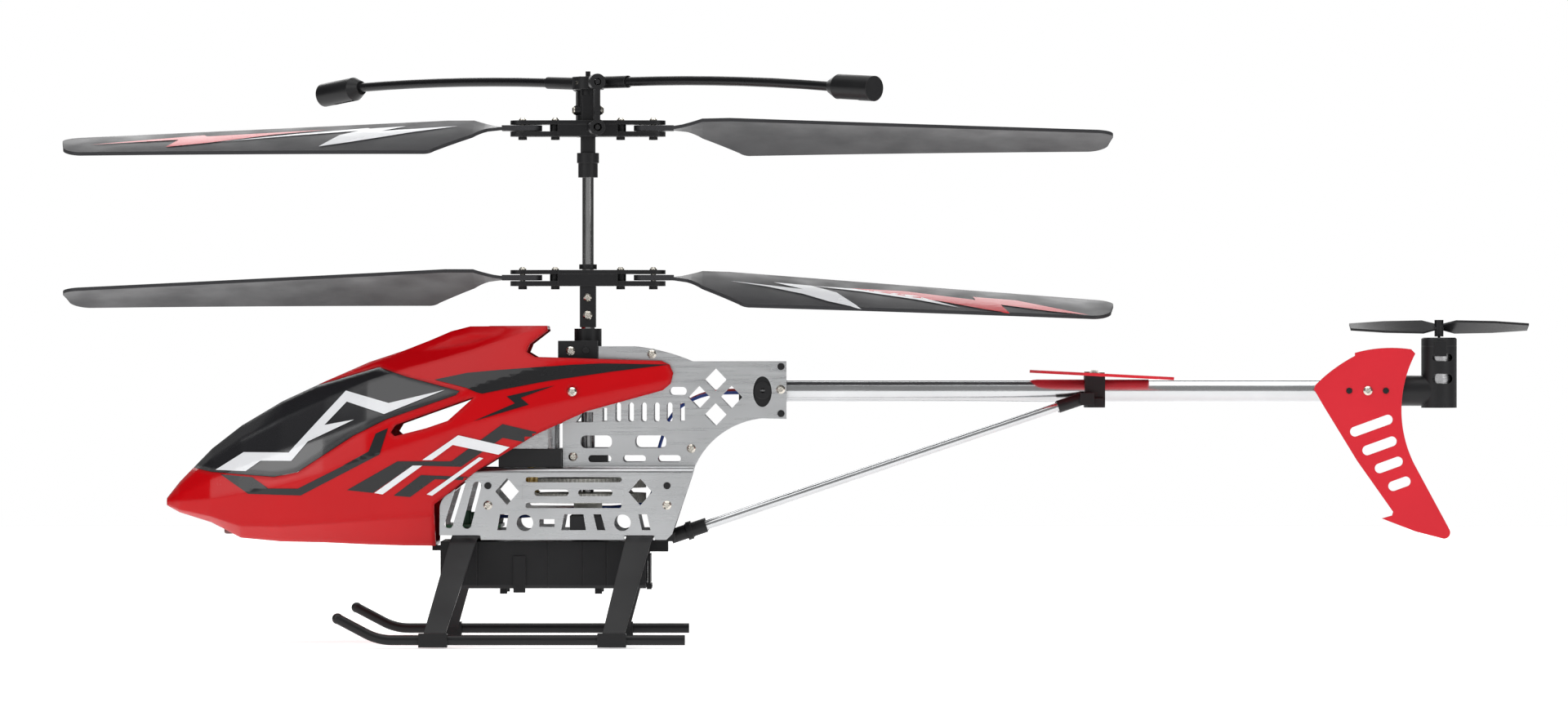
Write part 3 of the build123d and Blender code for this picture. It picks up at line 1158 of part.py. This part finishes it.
def hood(inset):
    """The raised intake along the roof."""
    sections = []
    for x, half_width, top in ((-152.0, 7.0, 103.4), (-134.0, 10.5, 110.4), (-126.0, 12.0, 113.8),
                               (-119.0, 13.0, HOOD_TOP_Z - 0.2), (-86.0, 13.0, HOOD_TOP_Z)):
        with BuildSketch(cross_plane(x)) as profile:
            w = half_width - inset
            Polygon((-w, 99.0), (w, 99.0), (w * 0.98, top - inset - 3.0), (w * 0.72, top - inset),
                    (-w * 0.72, top - inset), (-w * 0.98, top - inset - 3.0), align=None)
        sections.append(profile.sketch)
    loft(sections, ruled=True)


def window_outline():
    Polygon((-220.9, 63.8), (-213.7, 62.3), (-190.0, 60.6), (-181.2, 62.4), (-160.7, 75.7), (-148.8, 81.6),
            (-123.4, 90.5), (-122.0, 92.0), (-141.5, 97.1), (-152.3, 100.7), (-174.6, 94.2), (-180.0, 102.0),
            (-215.0, 85.0), align=None)


def rear_trim():
    """Everything behind the door line that is not the side tongue or the hood."""
    with BuildLine() as outline:
        Polyline((CANOPY_REAR_X, 20.0), (CANOPY_REAR_X, 50.8), (-115.5, 63.2), (-94.6, 76.1), (-76.0, 84.6))
        Polyline((-76.0, 84.6), (-48.5, 92.2), (-45.6, 94.6), (-44.6, 98.4), (-46.0, 101.6), (-49.0, 103.0))
        Polyline((-49.0, 103.0), (-95.0, 104.4), (-98.0, 106.2), (-96.8, 109.1), (-90.4, 114.0), (-91.0, 117.0))
        Polyline((-91.0, 117.0), (-91.0, 150.0), (-20.0, 150.0), (-20.0, 20.0), (CANOPY_REAR_X, 20.0))
    make_face(outline.edges())


def vent_outline():
    Polygon((-147.0, 76.9), (-145.4, 79.6), (-134.4, 83.6), (-116.8, 89.8), (-126.3, 81.2), (-134.2, 78.5),
            (-145.6, 75.6), align=None)


with BuildPart() as canopy_blank:
    canopy_body(0)
    hood(0)

with BuildPart() as canopy_hollow:
    canopy_body(CANOPY_WALL)
    hood(CANOPY_WALL)

with BuildPart() as canopy_shell:
    add(canopy_blank.part)
    add(canopy_hollow.part, mode=Mode.SUBTRACT)
    with BuildSketch(side_plane(0)):
        rear_trim()
    extrude(amount=60, both=True, mode=Mode.SUBTRACT)
    with BuildSketch(side_plane(0)):
        vent_outline()
    extrude(amount=60, both=True, mode=Mode.SUBTRACT)

with BuildPart() as canopy:
    add(canopy_shell.part)
    with BuildSketch(side_plane(0)):
        window_outline()
    extrude(amount=60, both=True, mode=Mode.SUBTRACT)
    with Locations((CANOPY_SCREW[0], 0, CANOPY_SCREW[1])):
        Cylinder(1.2, 70, rotation=(90, 0, 0), mode=Mode.SUBTRACT)
    with Locations((NOSE_LENS_X, 0, 40.0)):
        Cylinder(2.1, 8, mode=Mode.SUBTRACT)
save(canopy, "canopy")

with BuildPart() as nose_lens:
    with Locations((NOSE_LENS_X, 0, 39.4)):
        Cylinder(2.0, 3.6, align=UPWARD)
    fillet(edges().group_by(Axis.Z)[0], 0.8)
save(nose_lens, "nose_lens")

with BuildPart() as canopy_window:
    add(canopy_shell.part)
    with BuildSketch(side_plane(0)):
        window_outline()
        offset(amount=-0.12, mode=Mode.REPLACE)
    extrude(amount=60, both=True, mode=Mode.INTERSECT)
save(canopy_window, "canopy_window")
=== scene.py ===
"""Looks of the coaxial toy helicopter: materials, printed decals, camera, floor and light.

Metres, the model's own frame: +X is the tail, -Y is the side that faces the camera, +Z is up.
"""

import json
import math

import bmesh
import bpy
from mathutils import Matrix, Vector
from mathutils.bvhtree import BVHTree


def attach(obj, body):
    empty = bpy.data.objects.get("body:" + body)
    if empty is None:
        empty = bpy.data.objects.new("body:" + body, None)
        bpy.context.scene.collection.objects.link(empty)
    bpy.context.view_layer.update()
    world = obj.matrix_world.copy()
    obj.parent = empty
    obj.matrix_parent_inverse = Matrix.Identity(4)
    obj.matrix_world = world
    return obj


MM = 0.001
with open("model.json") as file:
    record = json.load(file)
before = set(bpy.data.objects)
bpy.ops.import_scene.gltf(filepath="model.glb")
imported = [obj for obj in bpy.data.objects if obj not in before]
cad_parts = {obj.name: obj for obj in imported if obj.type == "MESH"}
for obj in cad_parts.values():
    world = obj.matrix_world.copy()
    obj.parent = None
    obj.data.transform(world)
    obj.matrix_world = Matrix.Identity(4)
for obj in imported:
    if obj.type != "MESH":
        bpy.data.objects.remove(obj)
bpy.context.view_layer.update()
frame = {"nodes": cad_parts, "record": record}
nodes = frame["nodes"]


# =============================================================== materials
def new_material(name):
    """An empty material with its principled shader and the object's own coordinates."""
    material = bpy.data.materials.new(name)
    material.use_nodes = True
    tree = material.node_tree
    shader = tree.nodes["Principled BSDF"]
    place = tree.nodes.new("ShaderNodeTexCoord").outputs["Object"]
    return material, tree, shader, place


def noise(tree, place, scale, detail=4.0, stretch=(1, 1, 1)):
    """Noise of that many cells per metre, stretched along the axes."""
    mapping = tree.nodes.new("ShaderNodeMapping")
    mapping.inputs["Scale"].default_value = stretch
    tree.links.new(place, mapping.inputs["Vector"])
    texture = tree.nodes.new("ShaderNodeTexNoise")
    texture.inputs["Scale"].default_value = scale
    texture.inputs["Detail"].default_value = detail
    tree.links.new(mapping.outputs["Vector"], texture.inputs["Vector"])
    return texture.outputs["Fac"]


def spread(tree, value, low, high):
    """Maps the usual span of a noise value, 0.3 to 0.7, to a range."""
    remap = tree.nodes.new("ShaderNodeMapRange")
    remap.inputs["From Min"].default_value = 0.3
    remap.inputs["From Max"].default_value = 0.7
    remap.inputs["To Min"].default_value = low
    remap.inputs["To Max"].default_value = high
    tree.links.new(value, remap.inputs["Value"])
    return remap.outputs["Result"]


def blend_colours(tree, factor, first, second):
    """A colour between two, the second where the factor is 1."""
    mix = tree.nodes.new("ShaderNodeMix")
    mix.data_type = "RGBA"
    mix.inputs["A"].default_value = (*first, 1)
    mix.inputs["B"].default_value = (*second, 1)
    tree.links.new(factor, mix.inputs["Factor"])
    return mix.outputs["Result"]


def edge_mask(tree, radius):
    """Near 1 on edges and corners, 0 on flat faces."""
    soft = tree.nodes.new("ShaderNodeBevel")
    soft.samples = 4
    soft.inputs["Radius"].default_value = radius
    facing = tree.nodes.new("ShaderNodeVectorMath")
    facing.operation = "DOT_PRODUCT"
    geometry = tree.nodes.new("ShaderNodeNewGeometry")
    tree.links.new(soft.outputs["Normal"], facing.inputs[0])
    tree.links.new(geometry.outputs["Normal"], facing.inputs[1])
    remap = tree.nodes.new("ShaderNodeMapRange")
    remap.inputs["From Min"].default_value = 0.99
    remap.inputs["From Max"].default_value = 0.8
    tree.links.new(facing.outputs["Value"], remap.inputs["Value"])
    return remap.outputs["Result"]


def rounded_bump(tree, shader, height, distance, strength, edge_radius):
    """Grain on top of edges that are rounded by edge_radius."""
    soft = tree.nodes.new("ShaderNodeBevel")
    soft.samples = 6
    soft.inputs["Radius"].default_value = edge_radius
    bump = tree.nodes.new("ShaderNodeBump")
    bump.inputs["Distance"].default_value = distance
    bump.inputs["Strength"].default_value = strength
    tree.links.new(height, bump.inputs["Height"])
    tree.links.new(soft.outputs["Normal"], bump.inputs["Normal"])
    tree.links.new(bump.outputs["Normal"], shader.inputs["Normal"])


def plastic(name, colour, worn, roughness, coat=0.0, grain=0.25, edge_radius=0.00035, specular=0.5):
    """Moulded plastic: cloudy colour, rubbed edges, fine grain."""
    material, tree, shader, place = new_material(name)
    cloud = spread(tree, noise(tree, place, 35.0), 0.0, 0.35)
    body = blend_colours(tree, cloud, colour, [c * 0.82 for c in colour])
    mix = tree.nodes.new("ShaderNodeMix")
    mix.data_type = "RGBA"
    mix.inputs["B"].default_value = (*worn, 1)
    tree.links.new(body, mix.inputs["A"])
    wear = tree.nodes.new("ShaderNodeMath")
    wear.operation = "MULTIPLY"
    tree.links.new(edge_mask(tree, edge_radius), wear.inputs[0])
    tree.links.new(spread(tree, noise(tree, place, 300.0), 0.1, 0.6), wear.inputs[1])
    tree.links.new(wear.outputs["Value"], mix.inputs["Factor"])
    tree.links.new(mix.outputs["Result"], shader.inputs["Base Color"])
    smudge = noise(tree, place, 60.0, 6.0)
    tree.links.new(spread(tree, smudge, roughness * 0.8, roughness * 1.25), shader.inputs["Roughness"])
    shader.inputs["Coat Weight"].default_value = coat
    shader.inputs["Coat Roughness"].default_value = 0.06
    shader.inputs["Specular IOR Level"].default_value = specular
    rounded_bump(tree, shader, noise(tree, place, 2600.0, 3.0), 0.00004, grain, edge_radius)
    return material


def metal(name, colour, roughness, stretch=(1, 1, 1), brushing=0.3, edge_radius=0.0002):
    """Metal with brush lines; a large stretch on an axis packs the lines across it."""
    material, tree, shader, place = new_material(name)
    shader.inputs["Metallic"].default_value = 1.0
    lines = noise(tree, place, 420.0, 5.0, stretch)
    patches = spread(tree, noise(tree, place, 45.0), 0.0, 0.6)
    body = blend_colours(tree, patches, colour, [c * 0.8 for c in colour])
    tree.links.new(body, shader.inputs["Base Color"])
    tree.links.new(spread(tree, lines, roughness * 0.75, roughness * 1.3), shader.inputs["Roughness"])
    rounded_bump(tree, shader, lines, 0.00002, brushing, edge_radius)
    return material


RED = (0.53, 0.0, 0.003)
PALE_RED = (0.66, 0.022, 0.035)
JET = (0.010, 0.010, 0.011)
GLOSS_BLACK = (0.012, 0.012, 0.014)
BLADE_GREY = (0.032, 0.032, 0.035)
RUBBED_JET = (0.06, 0.06, 0.06)
DULL = 0.3              # specular level of dark moulded plastic
FINISHES = {            # one finish for each material slot of the record
    "side_plate": metal("aluminium_sheet", (0.60, 0.61, 0.62), 0.30, (0.12, 1, 3.0), 0.35),
    "boom_metal": metal("aluminium_tube", (0.66, 0.67, 0.68), 0.20, (0.1, 2.0, 2.0), 0.2),
    "frame_plastic": plastic("black_moulding", JET, RUBBED_JET, 0.42, specular=DULL),
    "box_plastic": plastic("matte_black_moulding", (0.009, 0.009, 0.010), (0.05, 0.05, 0.05), 0.5, grain=0.5,
                           specular=DULL),
    "strut_plastic": plastic("satin_black_nylon", JET, RUBBED_JET, 0.38, grain=0.3, specular=DULL),
    "canopy_red": plastic("red_shell", RED, (0.56, 0.004, 0.008), 0.22, coat=0.12, grain=0.03,
                          edge_radius=0.003, specular=0.2),
    "window_black": plastic("gloss_black_window", GLOSS_BLACK, (0.02, 0.02, 0.02), 0.12, coat=0.35,
                            grain=0.03, edge_radius=0.003),
    "lens_red": plastic("dark_red_lens", (0.12, 0.004, 0.006), (0.4, 0.05, 0.05), 0.10, coat=1.0, grain=0.02),
    "red_plate": plastic("red_sheet", PALE_RED, (0.8, 0.2, 0.2), 0.34, grain=0.08, specular=0.2),
    "blade_grey": plastic("grey_blade_moulding", BLADE_GREY, (0.08, 0.08, 0.08), 0.42, grain=0.15,
                          specular=DULL),
    "hub_black": plastic("satin_black_hub", JET, (0.07, 0.07, 0.07), 0.36, specular=DULL),
    "shaft_steel": metal("polished_shaft", (0.62, 0.62, 0.62), 0.12, (1, 1, 0.2), 0.04),
    "screw_steel": metal("nickel_screw", (0.80, 0.76, 0.68), 0.22, (1, 1, 1), 0.15),
    "rod_black": plastic("black_rod", (0.008, 0.008, 0.009), RUBBED_JET, 0.3, specular=DULL),
    "insert_steel": metal("knurled_insert", (0.75, 0.75, 0.75), 0.25, (6, 6, 6), 1.0),
    "gear_white": plastic("natural_nylon", (0.72, 0.71, 0.66), (0.8, 0.8, 0.76), 0.45),
    "brass_gear": metal("cut_brass", (0.83, 0.62, 0.28), 0.28),
    "motor_can": metal("plated_can", (0.66, 0.66, 0.67), 0.22, (1, 1, 5.0), 0.2),
    "bearing_steel": metal("ground_bearing", (0.7, 0.7, 0.7), 0.25),
    "pack_blue": plastic("shrink_wrap", (0.03, 0.08, 0.32), (0.1, 0.2, 0.5), 0.25, coat=0.5),
    "board_green": plastic("circuit_board", (0.02, 0.12, 0.05), (0.3, 0.25, 0.1), 0.35, coat=0.3),
    "switch_black": plastic("switch_body", (0.02, 0.02, 0.02), (0.1, 0.1, 0.1), 0.4),
    "knob_red": plastic("red_knob", (0.55, 0.02, 0.02), (0.8, 0.2, 0.2), 0.3, coat=0.4),
    "wire_red": plastic("red_insulation", (0.45, 0.015, 0.015), (0.6, 0.1, 0.1), 0.4, grain=0.2),
    "wire_blue": plastic("blue_insulation", (0.02, 0.06, 0.32), (0.1, 0.2, 0.5), 0.4, grain=0.2),
}
for part in frame["record"]["subparts"]:
    mesh = nodes[part["node"]].data
    mesh.materials.clear()
    mesh.materials.append(FINISHES[part["material_slot"]])


# =============================================================== decals
def ink(name, colour, roughness=0.25):
    """Printed film: a slightly uneven ink under a thin lacquer."""
    return plastic(name, colour, colour, roughness, coat=0.2, grain=0.05, edge_radius=0.0001, specular=0.3)


WHITE_INK = ink("white_ink", (0.80, 0.81, 0.83))
BLACK_INK = ink("black_ink", (0.013, 0.013, 0.014))
RED_INK = ink("red_ink", (0.55, 0.01, 0.02))
FILM = 0.00024           # how far a printed film stands off the surface
OUTSIDE = 0.2            # beyond the widest piece, where a film starts from
COARSE_GRID = (0.0014, 0.0012)
BLADE_GRID = (0.004, 0.0006)
BOTH_SIDES = (-1, 1)


def surface_of(*names):
    """Search tree over the triangles of some CAD nodes."""
    points = []
    faces = []
    for name in names:
        mesh = nodes[name].data
        start = len(points)
        points += [vertex.co.copy() for vertex in mesh.vertices]
        faces += [[start + index for index in face.vertices] for face in mesh.polygons]
    return BVHTree.FromPolygons(points, faces)


def flat_film(outline, step):
    """A flat shape in the X-Z plane, given in millimetres, cut along a grid so that it can bend."""
    film = bmesh.new()
    corners = [film.verts.new((x * MM, 0, z * MM)) for x, z in outline]
    film.faces.new(corners)
    film.normal_update()
    bmesh.ops.triangulate(film, faces=film.faces)
    for axis in (0, 2):
        normal = Vector([1 if index == axis else 0 for index in range(3)])
        values = [vertex.co[axis] for vertex in film.verts]
        spacing = step[axis // 2]
        cuts = int((max(values) - min(values)) / spacing)
        for cut in range(1, cuts + 1):
            geometry = film.verts[:] + film.edges[:] + film.faces[:]
            place = normal * (min(values) + cut * spacing)
            bmesh.ops.bisect_plane(film, geom=geometry, plane_co=place, plane_no=normal)
    bmesh.ops.triangulate(film, faces=film.faces)
    return film


def decal(name, outline, surface, body, material, sides=(-1,), step=COARSE_GRID, layer=1):
    """Presses a flat outline onto a surface along Y; a higher layer lies over a lower one."""
    for side in sides:
        film = flat_film(outline, step)
        missed = []
        for vertex in film.verts:
            start = Vector((vertex.co.x, side * OUTSIDE, vertex.co.z))
            place, normal, _, _ = surface.ray_cast(start, Vector((0, -side, 0)))
            if place is None:
                missed.append(vertex)
                continue
            if normal.y * side < 0:
                normal = -normal
            vertex.co = place + normal * FILM * layer
        bmesh.ops.delete(film, geom=missed, context="VERTS")
        mesh = bpy.data.meshes.new(name)
        film.to_mesh(mesh)
        film.free()
        mesh.materials.append(material)
        piece = bpy.data.objects.new(f"{name}_{'left' if side < 0 else 'right'}", mesh)
        bpy.context.collection.objects.link(piece)
        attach(piece, body)


# Canopy prints: name, ink, layer and outline.
CANOPY_PRINTS = [
    ("window_bolt", WHITE_INK, 1,
     [(-212.0, 63.0), (-201.5, 69.5), (-184.5, 69.5), (-164.0, 92.0), (-148.0, 87.5), (-127.5, 92.3),
      (-149.5, 83.5), (-163.5, 88.0), (-171.5, 79.5), (-160.5, 81.5), (-177.5, 73.5), (-183.5, 66.5),
      (-195.0, 66.5), (-200.5, 62.7)]),
    ("nose_swoosh", BLACK_INK, 1,
     [(-210.0, 61.5), (-198.0, 60.5), (-192.0, 56.5), (-181.0, 56.5), (-165.0, 64.5), (-155.0, 70.0),
      (-152.5, 76.5), (-148.0, 78.5), (-151.0, 69.0), (-180.0, 54.0), (-199.5, 54.5)]),
    ("side_stripe", BLACK_INK, 1,
     [(-131.5, 96.0), (-119.5, 98.5), (-108.5, 99.5), (-81.5, 101.5), (-71.0, 102.0), (-46.0, 101.6),
      (-67.0, 99.0), (-87.5, 96.0), (-93.5, 95.0), (-106.5, 92.5), (-114.0, 91.0), (-116.0, 91.5),
      (-119.5, 93.0)]),
    ("small_bolt", BLACK_INK, 1,
     [(-117.0, 81.0), (-102.0, 87.5), (-105.0, 90.0), (-87.5, 94.0), (-100.0, 89.5), (-97.0, 87.0)]),
    ("upper_band", BLACK_INK, 1,
     [(-106.5, 80.0), (-92.8, 76.7), (-99.0, 73.5), (-106.5, 75.0), (-121.5, 64.5), (-139.0, 65.0),
      (-153.5, 55.0), (-163.0, 56.0), (-144.5, 66.5), (-125.0, 66.5)]),
    ("lower_band", BLACK_INK, 1,
     [(-136.0, 61.5), (-119.0, 60.8), (-120.0, 59.6), (-131.0, 60.0), (-140.0, 53.5), (-146.0, 54.0)]),
    ("chevron", WHITE_INK, 2,
     [(-135.5, 67.0), (-122.5, 76.0), (-104.0, 71.6), (-108.0, 68.9), (-124.5, 72.5), (-132.0, 67.0)]),
    ("front_bar", WHITE_INK, 2,
     [(-139.0, 65.0), (-135.5, 65.0), (-150.0, 54.5), (-153.0, 55.0)]),
    ("rear_bar", WHITE_INK, 2,
     [(-115.0, 68.0), (-113.5, 67.6), (-132.0, 54.0), (-134.0, 54.5)]),
]
canopy_surface = surface_of("canopy", "canopy_window")
for name, colour, layer, outline in CANOPY_PRINTS:
    decal(name, outline, canopy_surface, "airframe", colour, BOTH_SIDES, layer=layer)

# Lightning on the blades' upper faces: a red bolt near the tip, a white one near the root.
# Each row is a blade, the print's name, its ink and its outline.
BLADE_PRINTS = [
    ("upper_blade_front", "upper_front_red", RED_INK,
     [(-258, 181.9), (-217, 185.6), (-216, 185.1), (-172, 187.7), (-191, 185.8), (-215, 182.5),
      (-230, 180.9), (-226, 183.8)]),
    ("upper_blade_front", "upper_front_streak", WHITE_INK,
     [(-211, 182.9), (-182, 186.1), (-157, 188.3), (-155, 187.6), (-182, 185.5)]),
    ("upper_blade_front", "upper_front_bolt", WHITE_INK,
     [(-174, 181.0), (-167, 185.5), (-157, 188.0), (-143, 189.0), (-152, 187.1), (-124, 189.0),
      (-140, 186.7), (-152, 184.6), (-163, 182.7)]),
    ("lower_blade_rear", "lower_rear_red", RED_INK,
     [(20, 129.4), (40, 128.3), (66, 125.0), (65, 126.2), (81, 124.9), (107, 119.5), (93, 120.9),
      (75, 123.3), (78, 120.2), (69, 121.6), (54, 124.4)]),
    ("lower_blade_rear", "lower_rear_streak", WHITE_INK,
     [(6, 130.3), (24, 129.0), (44, 126.6), (60, 122.2), (44, 125.2), (24, 128.2)]),
    ("lower_blade_rear", "lower_rear_bolt", WHITE_INK,
     [(-24, 132.1), (3, 129.0), (-8, 131.6), (6, 130.3), (15, 127.8), (24, 121.8), (12, 124.5),
      (3, 127.2), (-11, 130.1)]),
]
for blade, name, colour, outline in BLADE_PRINTS:
    decal(name, outline, surface_of(blade), blade, colour, step=BLADE_GRID)

# =============================================================== camera, floor and light
CAMERA_PLACE = Vector((-4.2, -2500.0, 104.0)) * MM
FLOOR_REACH = 1.7
FLOOR_LEVEL = -0.0005    # a hair below the skids
camera = bpy.data.objects.new("camera", bpy.data.cameras.new("camera"))
bpy.context.collection.objects.link(camera)
camera.location = CAMERA_PLACE
camera.rotation_euler = (math.radians(90), 0, 0)
camera.data.sensor_width = 36.0
camera.data.lens = 156.25
camera.data.clip_end = 30.0
bpy.context.scene.camera = camera


def floor():
    """A wide pale floor just under the skids; a faint glow of its own keeps it white."""
    mesh = bpy.data.meshes.new("floor")
    quarters = ((-1, -1), (1, -1), (1, 1), (-1, 1))
    corners = [(x * FLOOR_REACH, y * FLOOR_REACH, FLOOR_LEVEL) for x, y in quarters]
    mesh.from_pydata(corners, [], [(0, 1, 2, 3)])
    sheet = bpy.data.objects.new("floor", mesh)
    bpy.context.collection.objects.link(sheet)
    material, tree, shader, place = new_material("white_paper")
    fibres = spread(tree, noise(tree, place, 900.0), 0.0, 1.0)
    paper = blend_colours(tree, fibres, (0.93, 0.93, 0.93), (0.90, 0.90, 0.90))
    tree.links.new(paper, shader.inputs["Base Color"])
    shader.inputs["Roughness"].default_value = 0.9
    shader.inputs["Emission Color"].default_value = (1, 1, 1, 1)
    shader.inputs["Emission Strength"].default_value = 0.5
    mesh.materials.append(material)


def area_light(name, place, target, size, power):
    """A softbox of that width and height, aimed at the target; power in watts."""
    light = bpy.data.objects.new(name, bpy.data.lights.new(name, "AREA"))
    light.data.shape = "RECTANGLE"
    light.data.size, light.data.size_y = size
    light.data.energy = power
    light.location = place
    light.rotation_euler = (Vector(target) - Vector(place)).to_track_quat("-Z", "Y").to_euler()
    bpy.context.collection.objects.link(light)


def studio_world():
    """Surroundings that are white behind the model; their light fades towards the nose and tail sides."""
    world = bpy.data.worlds.new("studio")
    world.use_nodes = True
    tree = world.node_tree
    around = tree.nodes.new("ShaderNodeTexCoord")
    direction = tree.nodes.new("ShaderNodeSeparateXYZ")
    sideways = tree.nodes.new("ShaderNodeMath")
    sideways.operation = "ABSOLUTE"
    dark_sides = tree.nodes.new("ShaderNodeMapRange")
    dark_sides.inputs["From Min"].default_value = 0.45
    dark_sides.inputs["From Max"].default_value = 0.85
    dark_sides.inputs["To Min"].default_value = 0.32
    dark_sides.inputs["To Max"].default_value = 0.06
    seen = tree.nodes.new("ShaderNodeLightPath")
    white_behind = tree.nodes.new("ShaderNodeMath")
    white_behind.operation = "MAXIMUM"
    background = tree.nodes["Background"]
    background.inputs["Color"].default_value = (1, 1, 1, 1)
    tree.links.new(around.outputs["Generated"], direction.inputs["Vector"])
    tree.links.new(direction.outputs["X"], sideways.inputs[0])
    tree.links.new(sideways.outputs["Value"], dark_sides.inputs["Value"])
    tree.links.new(dark_sides.outputs["Result"], white_behind.inputs[0])
    tree.links.new(seen.outputs["Is Camera Ray"], white_behind.inputs[1])
    tree.links.new(white_behind.outputs["Value"], background.inputs["Strength"])
    return world


floor()
area_light("softbox_top", (0.0, -0.2, 1.9), (0, 0, 0.1), (2.6, 2.0), 24)
area_light("softbox_left", (-1.7, -1.5, 1.1), (-0.1, 0, 0.1), (1.2, 1.2), 15)
area_light("softbox_right", (1.8, -1.6, 0.9), (0, 0, 0.1), (1.2, 1.2), 11)
area_light("softbox_back", (0.0, 1.9, 1.0), (0, 0, 0.1), (2.0, 1.0), 14)
bpy.context.scene.world = studio_world()
bpy.context.scene.view_settings.view_transform = "Standard"
